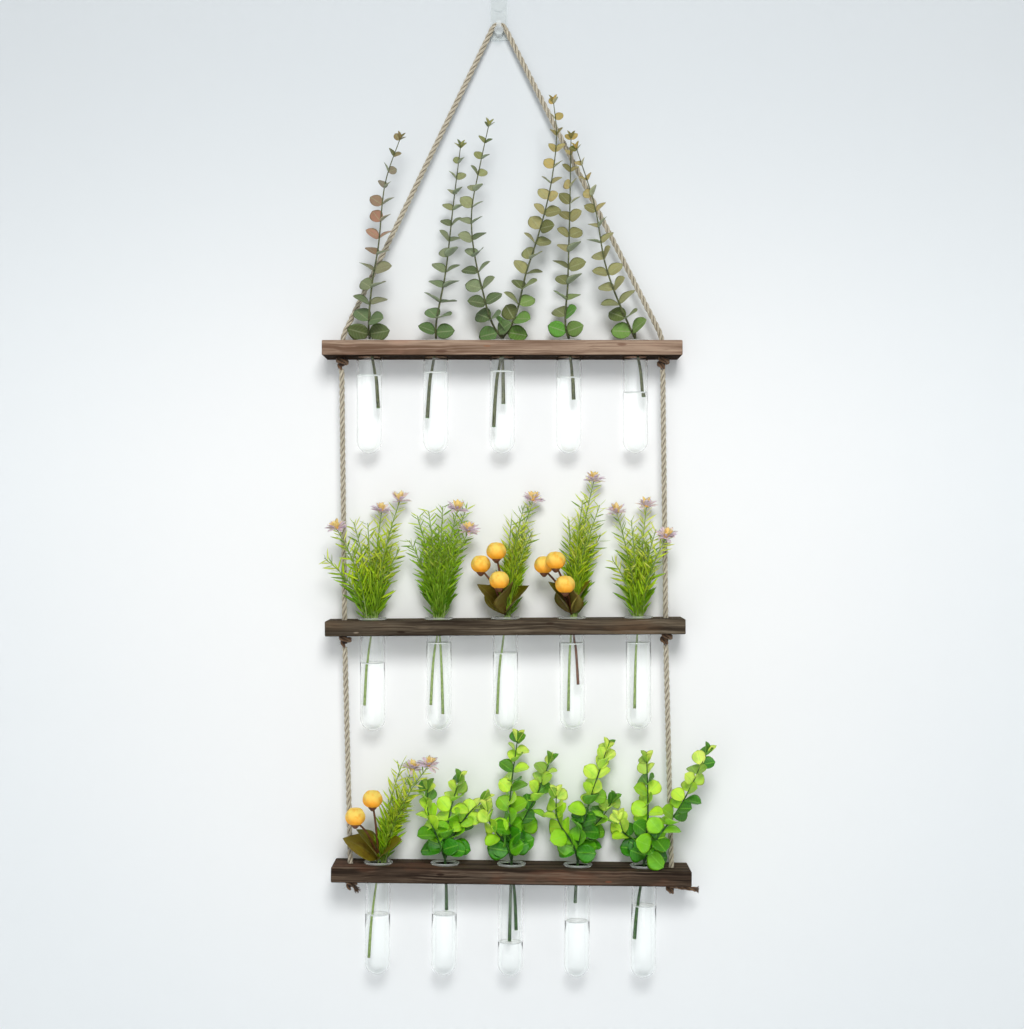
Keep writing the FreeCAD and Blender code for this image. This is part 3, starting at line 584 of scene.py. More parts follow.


# The planks keep their shape and get a stained, brushed grain along their length.
# each tier's under tone is painted shade for the plank's underside
woods = {
    "top": {"dark": (108, 84, 68), "middle": (168, 144, 124), "light": (194, 170, 148),
            "warm": (182, 138, 118), "under": (38, 24, 12), "seed": 3.0, "lines": 0.4,
            "marks": [(-14.9, 1.5, 4.5, (142, 104, 80)), (-60, -3.2, 7, (96, 72, 60)),
                      (118, 2.5, 6, (118, 90, 74))]},
    "middle": {"dark": (50, 42, 34), "middle": (98, 87, 72), "light": (138, 126, 108),
               "warm": (104, 82, 62), "under": (32, 25, 19), "seed": 11.0, "lines": 0.45,
               "marks": [(-102.7, -4.1, 5.0, (40, 28, 22)), (-147, -4.0, 3.0, (150, 136, 118)),
                         (44, 3.0, 5.0, (52, 40, 32))]},
    "bottom": {"dark": (42, 33, 27), "middle": (90, 75, 62), "light": (128, 112, 96),
               "warm": (112, 76, 58), "under": (28, 20, 16), "seed": 23.0, "lines": 0.55,
               "marks": [(-70, 2.0, 5.0, (34, 22, 18)), (96, -3.0, 4.0, (122, 78, 60))]},
}


# Grain: noise drawn out along the plank. Broad bands set the tone, fine ones the lines and pores, and a
# slower noise bends them; a knot is a place where the lines part. Worn edges show lighter wood.
def woodMaterial(tier):
    wood = woods[tier]
    material, wires = newMaterial(f"{tier}PlankWood")
    centred = wires.add("Mapping", {"vector_type": "TEXTURE"}, {
        "Vector": wires.place(), "Location": tuple(np.array(tiers[tier]["middle"]) * mm),
        "Rotation": (0, math.radians(tiers[tier]["tilt"]), 0)})
    x, y, z = centred.parts()
    sway = wires.noise(wires.joined(x * 14, y * 30, z * 30 + wood["seed"]), 1, 2) - 0.5
    bentZ, bentY = z + sway * 0.006, y + sway * 0.006
    bands = wires.noise(wires.joined(x * 5, bentY * 110, bentZ * 170 + wood["seed"]), 1, 3, 0.55)
    lines = wires.noise(wires.joined(x * 9, bentY * 520, bentZ * 640 + wood["seed"]), 1, 3, 0.6)
    pores = wires.noise(wires.joined(x * 60, bentY * 2200, bentZ * 2200), 1, 1)
    blotch = wires.noise(wires.joined(x * 18, y * 25, z * 40 + wood["seed"] * 3), 1, 3)
    colour = wires.mix(bands.between(0.34, 0.66), wood["dark"], wood["middle"])
    colour = wires.mix(blotch.between(0.5, 0.7) * 0.55, colour, wood["warm"])
    colour = wires.mix(lines.between(0.5, 0.72) * wood["lines"], colour, wood["light"])
    colour = wires.mix(lines.between(0.5, 0.3) * 0.7, colour, wood["dark"])
    colour = wires.mix(pores.between(0.6, 0.75) * 0.5, colour, wood["dark"])
    # small knots and chips: ovals drawn out along the grain
    for along, high, reach, mark in wood["marks"]:
        far = ((x - along * mm) / (reach * mm)) ** 2 + ((bentZ - high * mm) / (reach * 0.3 * mm)) ** 2
        colour = wires.mix(far.between(1.1, 0.2) * 0.8, colour, mark)
    # the underside is painted dark: painted shade under the plank
    colour = wires.mix(z.between(-0.0066, -0.0073), colour, wood["under"])
    bump = (lines * 0.7 + pores * 0.5 + bands * 0.4).bump(0.55, 0.0006)
    finishMaterial(wires, {"Base Color": colour, "Roughness": 0.62 + lines * 0.2, "Normal": bump,
                           "Specular IOR Level": 0.02})
    return material


# a node of the frame keeps its mesh and gets a material
def dress(node, material):
    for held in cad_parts[node].material_slots:
        held.material = material


def dressPlanks():
    for tier in tiers:
        dress(f"{tier}_plank", woodMaterial(tier))
    print("planks stained")


# The glass tubes and their water.
glass = {"tint": (0.99, 1.0, 0.995), "index": 1.4, "lampTint": (1.04, 1.04, 1.04)}
water = {"tint": (0.995, 1.0, 0.998), "index": 1.06, "lampTint": (1.06, 1.06, 1.06), "overlap": 0.06,
         "climb": 1.8, "climbWidth": 1.1, "surfaceHalf": 0.3}
# round bottoms gather the light elsewhere, so the wall below them is darker
bottomTint = (0.8, 0.8, 0.8)
# near-white tints of the tube rims and the water's surface and edge: painted highlight
highlightTints = {"rim": (0.95, 0.98, 0.95), "edge": (0.97, 1.0, 0.98)}
waterlines = {
    "top": (-368.5, -365.5, -364.5, -370.5, -385.5),
    "middle": (-655.5, -635.5, -645.5, -636.0, -635.5),
    "bottom": (-906.5, -906.5, -934.5, -913.5, -898.0),
}


# passing is the share of light that goes through; the rest of the rims and the water's surface and edge is a
# near-white diffuse tone, a painted highlight
def clearMaterial(name, finish, passing=1.0, roughness=0.0):
    material, wires = newMaterial(name)
    finishMaterial(wires, {"Base Color": (*finish["tint"], 1), "Roughness": roughness, "IOR": finish["index"],
                           "Transmission Weight": passing}, finish["lampTint"])
    return material


# part of a circle in a profile: its centre plus the radius by the cosine and sine of each angle
def arc(centre, radius, first, last, count):
    turn = np.radians(np.linspace(first, last, count))
    return np.stack([centre[0] + radius * np.cos(turn), centre[1] + radius * np.sin(turn)], 1)


# the tube's section: up the outside from the round bottom, over the rounded lip and down the inside
def tubeProfile():
    radius, bore = tube["radius"], tube["radius"] - tube["wall"]
    shoulder, soft, inner, neck = -tube["length"] + radius, tube["lipRound"], tube["innerRound"], tube["neckRound"]
    return np.concatenate([
        arc((0, shoulder), radius, -90, 0, 14), [[radius, -60], [radius, -30], [radius, -8], [radius, -neck]],
        arc((radius + neck, -neck), neck, 180, 90, 3),
        arc((tube["lipRadius"] - soft, soft), soft, -90, 0, 4),
        arc((tube["lipRadius"] - soft, tube["lipHeight"] - soft), soft, 0, 90, 4),
        arc((bore + inner, tube["lipHeight"] - inner), inner, 90, 180, 4),
        [[bore, -8], [bore, -30], [bore, -60]], arc((0, shoulder), bore, 0, -90, 14),
    ])


# the water's section: round bottom, a level top and a meniscus that climbs as e to minus the distance
def waterProfile(level):
    bore = tube["radius"] - tube["wall"] + water["overlap"]
    shoulder = -tube["length"] + tube["radius"]
    reach = np.linspace(bore, 0, 16)
    top = np.stack([reach, level + water["climb"] * np.exp((reach - bore) / water["climbWidth"])], 1)
    return np.concatenate([arc((0, shoulder), bore, -90, 0, 14),
                           [[bore, shoulder + (level - shoulder) * s] for s in (0.33, 0.66)], top])


# faces sorted by their middle's height: one list for each space between the cuts, with its material number
def splitAt(corners, faces, cuts, slots):
    chosen = [(rows[np.searchsorted(cuts, corners[rows][..., 2].mean(1)) == place], slot)
              for place, slot in enumerate(slots) for rows in faces]
    return [rows for rows, slot in chosen], [slot for rows, slot in chosen]


# a profile turned about the tube's axis, with a material for each space between the cuts
def turnedPiece(name, profile, cuts, slots, materials, place):
    shape = Shape()
    corners, faces, uv = turned(profile, tube["sides"])
    faces, slots = splitAt(corners, faces, cuts, slots)
    shape.add(corners, faces, uv, (0, 0, 0), slots)
    return shape.make(name, materials, place)


def makeTubes():
    ofGlass = [clearMaterial("clearGlass", glass),
               clearMaterial("clearGlassBottom", {**glass, "lampTint": bottomTint}),
               clearMaterial("clearGlassRim", {**glass, "tint": highlightTints["rim"]}, 0.72, 0.12)]
    ofWater = [clearMaterial("clearWater", water),
               clearMaterial("clearWaterBottom", {**water, "lampTint": bottomTint}),
               clearMaterial("waterSurface", {**water, "tint": highlightTints["rim"]}, 0.4, 0.2),
               clearMaterial("waterEdge", {**water, "tint": highlightTints["edge"]}, 0.08, 0.3)]
    bottom = -tube["length"] + tube["radius"] + 1
    ring = water["surfaceHalf"]
    for tier in tiers:
        for column in range(-2, 3):
            number = column + 3
            place = lambda points: atMouth(tier, column, points)
            made = turnedPiece(f"{tier}_glass_tube_{number}", tubeProfile(), [bottom, 0.01], [1, 0, 2],
                               ofGlass, place)
            settle(made, f"{tier}_tube_{number}_set", f"{tier}_tube_{number}")
            level = waterlines[tier][column + 2] - place((0, 0, 0))[0][2]
            cuts = [bottom, level - ring, level + ring]
            made = turnedPiece(f"{tier}_water_{number}", waterProfile(level), cuts, [1, 0, 2, 3], ofWater, place)
            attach(made, f"{tier}_tube_{number}_set")
    print("tubes and water made")


# The hook keeps its shape: clear glossy plastic on a pale foam pad.
hook = {"tint": (0.93, 0.96, 0.96), "index": 1.46, "roughness": 0.06, "passing": 0.72,
        "lampTint": (0.8, 0.82, 0.82), "foamDark": (222, 227, 229), "foamLight": (234, 238, 239)}


def dressHook():
    plastic, wires = newMaterial("clearPlastic")
    flow = wires.noise(wires.place(), 160, 2)
    finishMaterial(wires, {
        "Base Color": (*hook["tint"], 1), "Roughness": hook["roughness"], "IOR": hook["index"],
        "Normal": flow.bump(0.12, 0.0005), "Transmission Weight": hook["passing"]}, hook["lampTint"])
    foam, wires = newMaterial("foamTape")
    cells = wires.noise(wires.place(), 2600, 2)
    colour = wires.mix(cells.between(0.3, 0.7), hook["foamDark"], hook["foamLight"])
    finishMaterial(wires, {"Base Color": colour, "Roughness": 0.9, "Normal": cells.bump(0.3, 0.0003)})
    dress("wall_hook", plastic)
    dress("adhesive_pad", foam)
    print("hook finished")


# One closed leaf, flat across and a little thick: rings along its rib, each an ellipse as wide as the
# leaf is there. The blade rises towards its edges by cup and bends down along the rib by droop.
def leafForm(outline, around=6, along=6, cup=0.1, droop=0.0, thick=0.03):
    v = np.linspace(0, 1, along + 2)[1:-1]
    turn = roundSteps(around)
    wide = outline(v)[:, None]
    u = np.broadcast_to(np.cos(turn), (len(v), around))
    side = u * wide
    lift = cup * side**2 * 4 - droop * v[:, None] ** 2 + thick * np.sin(turn)[None] * (1 - 0.5 * v[:, None])
    rings = np.stack([side, np.broadcast_to(v[:, None], side.shape), lift], -1).reshape(-1, 3)
    corners = np.concatenate([rings, [[0, 0, 0], [0, 1, -droop]]])
    uv = np.stack([(u + 1) / 2, np.broadcast_to(v[:, None], u.shape)], -1).reshape(-1, 2)
    upper = np.broadcast_to(np.sin(turn) * 0.5 + 0.5, u.shape).reshape(-1)
    uv = np.concatenate([uv, [[0.5, 0], [0.5, 1]]])
    return corners, ringFaces(len(v), around), uv, np.append(upper, [0.5, 0.5])


# copies of a form, each with its own three axes, size along them, place, and first and third tone
def addCopies(shape, form, places, axes, sizes, firstTone, lastTone, slot=0):
    corners, faces, uv, upper = form
    made = np.einsum("nj,kj,kji->kni", corners, sizes, axes) + places[:, None]
    tones = np.stack(np.broadcast_arrays(firstTone[:, None], upper[None], lastTone[:, None]), -1)
    shape.add(made.reshape(-1, 3), copyFaces(faces, len(places), len(corners)),
              np.tile(uv, (len(places), 1)), tones.reshape(-1, 3), slot)


# a leaf's axes: its rib leaves the stem outwards and rises, and its face is rolled towards the viewer
def leafAxes(along, outward, rise, roll):
    rise, roll = np.asarray(rise)[..., None], np.asarray(roll)[..., None]
    rib = unit(outward * np.cos(rise) + along * np.sin(rise))
    face = unit(along * np.cos(rise) - outward * np.sin(rise))
    beside = np.cross(rib, face)
    turnTo = np.sign((beside * toViewer).sum(-1, keepdims=True)) * roll
    face = outAt(turnTo, face, beside)
    return np.stack([np.cross(rib, face), rib, face], -2)


tipLeaf = {"share": 1.05, "slimmer": 0.7, "rise": 66.0, "roll": 50.0, "sunk": 1.5}


# pairs of opposite leaves up a stem: each pair is turned from the one below, and sizes fall to the tip
def addPairs(shape, line, leaf, form, rng, slot=0):
    leafed = runLength(line)[-1] - leaf["start"] - leaf["bareTip"]
    count = max(2, int(round(leafed / leaf["gap"])) + 1)
    share = np.linspace(0, 1, count)
    place, along = alongLine(line, leaf["start"] + leafed * share)
    turns = np.radians(np.resize(leaf["turns"], count) + rng.uniform(-leaf["sway"], leaf["sway"], count))
    across = np.stack([np.cos(turns), -np.sin(turns), np.zeros(count)], 1)
    across = unit(across - along * (across * along).sum(1, keepdims=True))  # square to the stem
    size = leaf["size"] * (1 + (leaf["tipShare"] - 1) * share ** leaf["shrink"])
    for side in (1, -1):
        rise = np.radians(leaf["rise"] + leaf["tipRise"] * share + rng.uniform(-leaf["wild"], leaf["wild"], count))
        roll = np.radians(leaf["roll"] * rng.uniform(0, 1, count) ** leaf["rollPower"])
        axes = leafAxes(along, across * side, rise, roll)
        long = size * rng.uniform(0.9, 1.1, count)
        sizes = np.stack([long * leaf["width"], long, long], 1)
        addCopies(shape, form, place, axes, sizes, share + rng.uniform(-0.12, 0.12, count),
                  rng.uniform(0, 1, count), slot)
    # the two smallest leaves stand up at the tip
    tip, way = line[-1:], unit(line[-1:] - line[-2:-1])
    long = size[-1:] * tipLeaf["share"]
    sizes = np.stack([long * leaf["width"] * tipLeaf["slimmer"], long, long], 1)
    place = tip - way * tipLeaf["sunk"]
    for side in (1, -1):
        axes = leafAxes(way, np.array([[side, -0.3, 0.0]]), *np.radians([[tipLeaf["rise"]], [tipLeaf["roll"]]]))
        addCopies(shape, form, place, axes, sizes, np.array([1.0]), rng.uniform(0, 1, 1), slot)


# the stems that stand in a tube, from near its wall up through its mouth, repeated from the part
stems = {"radius": 1.25, "reach": 9.6, "depth": 111, "rim": (0, 4.4, 4.5), "top": (0, -2.0, 7), "points": 22}


# a twig that grows thinner from its foot to its tip
def addTwig(shape, line, radius, taper, around):
    shape.add(*sweep(line, radius * np.linspace(*taper, len(line)), around), (0.3, 1.0, 0.2), 1)


# each stem starts at a foot, given as shares of the reach, the reach and the depth, and bows to the rim
def addStems(shape, feet, slot, thinned=1.0):
    rim = np.array(stems["rim"])
    for foot in feet:
        low = np.array(foot) * [stems["reach"], stems["reach"], -stems["depth"]]
        middle = low * 0.55 + rim * 0.45 + [1.5 * foot[0], 0.5, 0]
        line = lineThrough([low, middle, rim, rim + stems["top"]], stems["points"])
        radii = stems["radius"] * thinned * (1.45 - 0.55 * np.linspace(0, 1, stems["points"]))
        corners, faces, uv = sweep(line, radii, 10)
        # the last millimetre is the pale cut end
        tones = np.where(uv[:, 1:] < 1.0, [0.9, 0.0, 0.9], [0.1, 1.0, 0.2])
        shape.add(corners, faces, uv, tones, slot)


# Leaves: the first tone runs through the ramp from low leaves to the tip, the second tells the upper side
# from the under side and the third is each leaf's own chance. Veins come from the leaf's own uv.
plainLook = {"variety": 0.85, "rib": 0.3, "veins": 1, "veinShare": 0.0, "underShare": 0.4, "patchScale": 200,
             "patch": 0.2, "roughness": 0.5, "shine": 0.4, "glow": 0.3}


def leafMaterial(name, *looks):
    look = dict(plainLook)
    for more in looks:
        look.update(more)
    material, wires = newMaterial(name)
    share, upper, chance = wires.tones()
    u, v, _ = wires.add("UVMap").parts()
    colour = wires.add("ValToRGB", {"stops": look["ramp"]}, {0: share})
    colour = wires.mix(chance.between(0.35, 1.0) * look["variety"], colour, look["odd"])
    fromRib = wires.maths("ABSOLUTE", u - 0.5)
    rib = 1 - fromRib.between(0.0, 0.06)
    veins = wires.maths("SINE", (v * look["veins"] + fromRib * 3) * wholeTurn).between(0.7, 1.0)
    colour = wires.mix(rib * look["rib"], colour, look["ribTone"])
    colour = wires.mix(veins * look["veinShare"], colour, look["ribTone"])
    colour = wires.mix((1 - upper.between(0.3, 0.6)) * look["underShare"], colour, look["under"])
    patches = wires.noise(wires.place(), look["patchScale"], 2)
    colour = wires.mix(patches.between(0.45, 0.75) * look["patch"], colour, look["patchTone"])
    finishMaterial(wires, {
        "Base Color": colour, "Roughness": look["roughness"], "Normal": (veins * 0.4 - rib).bump(0.35, 0.0004),
        "Specular IOR Level": look["shine"], "Subsurface Weight": look["glow"],
        "Subsurface Radius": (0.3, 0.6, 0.15), "Subsurface Scale": 0.002})
    return material


# two tones by a fine noise, and the third where the corners' last tone marks a cut end
def stemMaterial(name, low, high, cut):
    material, wires = newMaterial(name)
    streaks = wires.noise(wires.place(), 420, 2)
    colour = wires.mix(streaks.between(0.35, 0.65), low, high)
    colour = wires.mix(wires.tones()[2].between(0.7, 0.9), colour, cut)
    finishMaterial(wires, {"Base Color": colour, "Roughness": 0.55, "Normal": streaks.bump(0.3, 0.0003)})
    return material


# Eucalyptus sprays in the top tier, repeated from the part: each stem's places as shares of its height.
spray = {
    "height": 200, "twig": 0.85, "taper": (1.3, 0.5),
    "leaf": {"size": 20.8, "width": 0.82, "gap": 15.8, "start": 8, "bareTip": 2.6, "tipShare": 0.4, "shrink": 1.5,
             "rise": 20, "tipRise": 26, "roll": 80, "rollPower": 1.2, "wild": 9, "sway": 14,
             "turns": (10, 50, -25, 35)},
    "rolls": {-2: 74, -1: 52, 0: 70, 1: 78, 2: 62}, "greyStems": [(-1, 0), (0, 0)],
    "stems": {
        -2: [[(0.0, -0.03, 0.05), (0.023, -0.085, 0.3), (0.048, -0.1, 0.435), (0.098, -0.12, 0.815),
              (0.163, -0.13, 0.995)]],
        -1: [[(0.0, -0.01, 0.05), (0.05, -0.02, 0.35), (0.09, -0.02, 0.7), (0.125, -0.02, 0.98)]],
        0: [[(-0.03, 0.0, 0.06), (-0.1, -0.08, 0.26), (-0.15, -0.14, 0.63), (-0.11, -0.15, 0.85),
             (-0.065, -0.16, 1.055)],
            [(0.03, 0.0, 0.06), (0.125, -0.06, 0.36), (0.175, -0.09, 0.51), (0.24, -0.2, 0.76),
             (0.265, -0.24, 1.01), (0.25, -0.25, 1.15)]],
        1: [[(-0.01, 0.0, 0.05), (-0.005, -0.02, 0.3), (0.004, -0.03, 0.65), (0.01, -0.04, 1.02)]],
        2: [[(-0.02, 0.0, 0.06), (-0.15, -0.1, 0.36), (-0.21, -0.13, 0.665), (-0.3, -0.14, 0.945)]],
    },
    "feet": {-2: [(0.85, 0.5, 0.59)], -1: [(-0.85, 0.5, 0.68)], 0: [(-0.85, 0.5, 0.76), (0.1, 0.98, 0.55)],
             1: [(0.5, 0.85, 0.51)], 2: [(0.85, 0.5, 0.5)]},
    "look": {
        "ramp": [(0.0, (96, 158, 58)), (0.15, (148, 152, 102)), (0.6, (182, 170, 118)),
                 (1.0, (188, 158, 84))],
        "odd": (84, 92, 46), "rib": 0.5, "ribTone": (168, 176, 136), "veins": 7,
        "veinShare": 0.16, "under": (158, 170, 144), "underShare": 0.7, "patchScale": 300, "patch": 0.25,
        "patchTone": (108, 100, 70), "roughness": 0.55, "shine": 0.35, "glow": 0.08,
    },
    "greyLook": {"ramp": [(0.0, (96, 132, 74)), (0.2, (126, 140, 104)), (0.6, (146, 152, 116)),
                          (1.0, (156, 154, 92))], "odd": (78, 94, 58)},
    "pinkLook": {"ramp": [(0.0, (96, 120, 78)), (0.3, (150, 146, 116)), (0.45, (178, 140, 118)),
                          (0.62, (170, 118, 96)), (0.78, (138, 126, 108)), (1.0, (140, 120, 80))]},
}


# A leaf's half width at a share of its length is half a sine. The inner power moves the widest place
# and the outer one makes the ends blunt.
def eucalyptusOutline(v):
    return 0.5 * np.sin(np.pi * v**0.92) ** 0.62


def makeSprays():
    plain = leafMaterial("eucalyptusLeaf", spray["look"])
    pink = leafMaterial("eucalyptusBlush", spray["look"], spray["pinkLook"])
    grey = leafMaterial("eucalyptusGrey", spray["look"], spray["greyLook"])
    bark = stemMaterial("eucalyptusStem", (60, 68, 40), (96, 100, 62), (110, 150, 84))
    form = leafForm(eucalyptusOutline, around=8, along=7, cup=0.12, droop=0.06, thick=0.018)
    rim = np.array(stems["rim"])
    for column, lines in spray["stems"].items():
        rng = np.random.default_rng(40 + column)
        shape = Shape()
        addStems(shape, spray["feet"][column], 1)
        leaf = {**spray["leaf"], "roll": spray["rolls"][column]}
        for number, shares in enumerate(lines):
            line = lineThrough([rim, *(np.array(shares) * spray["height"])], 60)
            addTwig(shape, line, spray["twig"], spray["taper"], 7)
            addPairs(shape, line, leaf, form, rng, 2 if (column, number) in spray["greyStems"] else 0)
        finishCutting(shape, "top", column, [pink if column == -2 else plain, bark, grey])
    print("eucalyptus sprays made")


# A cutting rides with its tube and gets a mesh of its own.
kept = {"top": 0.7, "topEnds": 0.9, "middle": 0.35, "bottom": 0.13}


def finishCutting(shape, tier, column, materials):
    number = column + 3
    made = shape.make(f"{tier}_plant_{number}", materials, lambda points: atMouth(tier, column, points))
    settle(made, f"{tier}_tube_{number}_set", f"{tier}_cutting_{number}")
    tuple(atMouth(tier, column, (0, 0, 3))[0] * mm)
    kept["topEnds" if tier == "top" and abs(column) == 2 else tier]
    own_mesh(made)


# Needle-leaved bushes of the middle tier and the bottom tier's first: where each sprig's tip is, as
# shares of the spread, the spread and the height.
bush = {
    "height": 118, "spread": 46, "twig": 0.9, "taper": (1.1, 0.45), "stemShare": 0.76, "foot": (0, 1.8, 4.5),
    "fan": np.array([0.14, 0.1, 0]), "sunk": 6.5, "bends": np.array([[0.36, 0.36, 0.42], [0.66, 0.66, 0.74]]),
    "needle": {"length": 23.0, "tipLength": 11.5, "width": 0.12, "gap": 1.75, "lean": 36, "tipLean": 60,
               "wild": 13, "rolls": (20, 80), "low": 0.05, "bareTip": 0.5},
    "tips": {
        ("middle", -2): [(-0.98, -0.5, 0.53), (-0.7, -0.62, 0.77), (-0.4, 0.1, 0.83), (-0.07, -0.2, 0.82),
                         (0.2, 0.2, 0.91), (0.46, -0.25, 0.8), (0.6, 0.15, 1.0), (0.62, -0.1, 0.6)],
        ("middle", -1): [(-0.62, -0.2, 0.67), (-0.46, 0.15, 0.88), (-0.2, -0.1, 0.92), (0.1, 0.15, 0.96),
                         (0.42, -0.15, 0.92), (0.62, 0.2, 0.95), (0.66, -0.2, 0.74)],
        ("middle", 0): [(0.15, 0.1, 0.84), (0.42, -0.1, 0.95), (0.62, 0.15, 1.0), (0.6, -0.15, 0.74)],
        ("middle", 1): [(-0.04, 0.15, 0.84), (0.25, -0.1, 1.0), (0.5, 0.1, 1.16), (0.62, -0.15, 0.96),
                        (0.64, 0.1, 0.7)],
        ("middle", 2): [(-0.56, -0.1, 0.5), (-0.44, 0.15, 0.89), (-0.15, -0.15, 0.83), (0.2, 0.1, 0.94),
                        (0.36, -0.45, 0.75), (0.56, -0.62, 0.68)],
        ("bottom", -2): [(0.5, -0.1, 0.86), (0.72, -0.1, 0.8), (1.08, -0.6, 0.86), (0.6, -0.25, 0.55)],
    },
    "inner": {("middle", -1): 20, ("middle", -2): 7, ("middle", 0): 7, ("middle", 1): 8, ("middle", 2): 6,
              ("bottom", -2): 5},
    "blooms": {("middle", -2): [1, 4, 6], ("middle", -1): [4, 6], ("middle", 0): [2], ("middle", 1): [2],
               ("middle", 2): [1, 3, 5], ("bottom", -2): [1, 2]},
    "buds": {("middle", 0): [(-0.18, -0.5, 0.58), (-0.52, -0.3, 0.47), (-0.12, -0.75, 0.34)],
             ("middle", 1): [(-0.6, -0.3, 0.46), (-0.36, -0.7, 0.5), (-0.16, -0.75, 0.3)],
             ("bottom", -2): [(-0.44, -0.9, 0.45), (-0.1, -0.6, 0.58)]},
    "broad": {("middle", 0): [(-0.68, -0.35, 1.0), (0.05, -0.6, 1.0), (-0.3, 0.3, 1.0), (0.45, -0.5, 0.8)],
              ("middle", 1): [(-0.5, -0.4, 1.0), (-0.05, -0.6, 1.0), (-0.1, 0.3, 1.0), (0.34, -0.45, 1.0)],
              ("bottom", -2): [(-0.95, -0.4, 0.75), (-0.4, -0.5, 0.9), (0.35, -0.5, 0.5)]},
    "broadSize": (31.0, 42.0, 42.0), "darker": ("middle", -1),
    "feet": {("middle", -2): [(-0.85, 0.5, 0.775)], ("middle", -1): [(-0.85, 0.5, 0.775), (0.3, 0.94, 0.86)],
             ("middle", 0): [(-0.85, 0.5, 0.86)], ("middle", 1): [(-0.35, 0.92, 0.84), (0.6, 0.78, 0.6)],
             ("middle", 2): [(-0.35, 0.92, 0.82)], ("bottom", -2): [(-0.85, 0.5, 0.86)]},
    "look": {
        "ramp": [(0.0, (100, 150, 0)), (0.25, (160, 204, 8)), (0.55, (212, 232, 46)),
                 (1.0, (240, 246, 136))],
        "odd": (86, 128, 0), "ribTone": (206, 226, 140), "under": (160, 196, 68), "patchTone": (98, 140, 14),
    },
    "broadLook": {
        "ramp": [(0.0, (84, 78, 0)), (0.5, (112, 106, 6)), (1.0, (140, 130, 26))],
        "variety": 0.4, "odd": (112, 88, 28), "rib": 0.6, "ribTone": (132, 120, 56), "veins": 9,
        "veinShare": 0.22, "under": (116, 108, 60), "underShare": 0.5, "patchScale": 160, "patch": 0.5,
        "patchTone": (96, 58, 26), "glow": 0.05,
    },
    "petalLook": {
        "ramp": [(0.0, (240, 226, 234)), (0.5, (226, 204, 224)), (1.0, (248, 228, 210))],
        "variety": 0.4, "odd": (250, 230, 216), "rib": 0.2, "ribTone": (196, 168, 200), "under": (206, 190, 206),
        "patch": 0.1, "patchTone": (190, 160, 190), "roughness": 0.6, "shine": 0.25, "glow": 0.15,
    },
    "deepLook": {"ramp": [(0.0, (82, 134, 0)), (0.3, (128, 178, 6)), (0.65, (172, 210, 34)),
                          (1.0, (226, 240, 118))]},
    "yellowLook": {
        "ramp": [(0.0, (254, 228, 130)), (0.5, (250, 214, 140)), (1.0, (254, 238, 176))],
        "odd": (250, 216, 150), "ribTone": (246, 208, 110), "under": (252, 228, 150), "patchTone": (246, 206, 150),
    },
}
# each ring of petals has a count, the angles that they rise at, their length's share and their material
bloom = {"petalLength": 12.5, "petalWidth": 0.3, "heart": 1.8, "heartRise": 1.4, "hearts": 16,
         "rings": [(24, (6, 58), 1.0, 2), (11, (52, 84), 0.85, 7)]}
# the deep orange is the bud's own spotting where the grain noise puts it, and painted shade towards its bottom and
# in the grooves between its lobes
bud = {"radius": 9.4, "height": 9.2, "lobes": 6, "groove": 0.13, "cup": 4.6, "stalk": (1.3, 0.95), "around": 36,
       "light": (255, 220, 104), "deep": (250, 164, 24)}


def needleOutline(v):
    return 0.5 * np.sin(np.pi * v**0.8) ** 0.75


def petalOutline(v):
    return 0.5 * np.sin(np.pi * np.clip(v, 0, 1) ** 1.5) ** 0.7


def broadOutline(v):
    return 0.5 * np.sin(np.pi * v**0.88) ** 0.95


# a sprig: a twig that leaves the mouth steeply and leans out to its tip, with narrow leaves in a
# spiral, each a golden turn on from the one below
def addSprig(shape, foot, tip, form, rng):
    needle = bush["needle"]
    way = tip - foot
    start = foot + np.clip(way * bush["fan"], -6, 6) - [0, 0, bush["sunk"]]
    line = lineThrough([start, *(foot + way * share for share in bush["bends"]), tip], 30)
    addTwig(shape, line, bush["twig"], bush["taper"], 6)
    total = runLength(line)[-1]
    travel = np.arange(total * needle["low"], total - needle["bareTip"], needle["gap"])
    share = travel / total
    place, along = alongLine(line, travel)
    turn = np.arange(len(travel)) * goldenTurn + rng.uniform(0, 6.28) + rng.uniform(-0.4, 0.4, len(travel))
    side = unit(np.cross(along, [0.2, 1.0, 0.1]))
    outward = outAt(turn[:, None], side, np.cross(along, side))
    leans = needle["lean"] + (needle["tipLean"] - needle["lean"]) * share
    lean = np.radians(leans + rng.uniform(-needle["wild"], needle["wild"], len(travel)))
    axes = leafAxes(along, outward, np.pi / 2 - lean, np.radians(rng.uniform(*needle["rolls"], len(travel))))
    long = needle["length"] + (needle["tipLength"] - needle["length"]) * share
    long = long * rng.uniform(0.8, 1.12, len(travel)) * np.clip(0.35 + share * 4, 0, 1)
    sizes = np.stack([long * needle["width"] * (1.25 - 0.25 * share), long, long], 1)
    addCopies(shape, form, place, axes, sizes, share * 0.85 + rng.uniform(-0.15, 0.15, len(travel)),
              rng.uniform(0, 1, len(travel)))


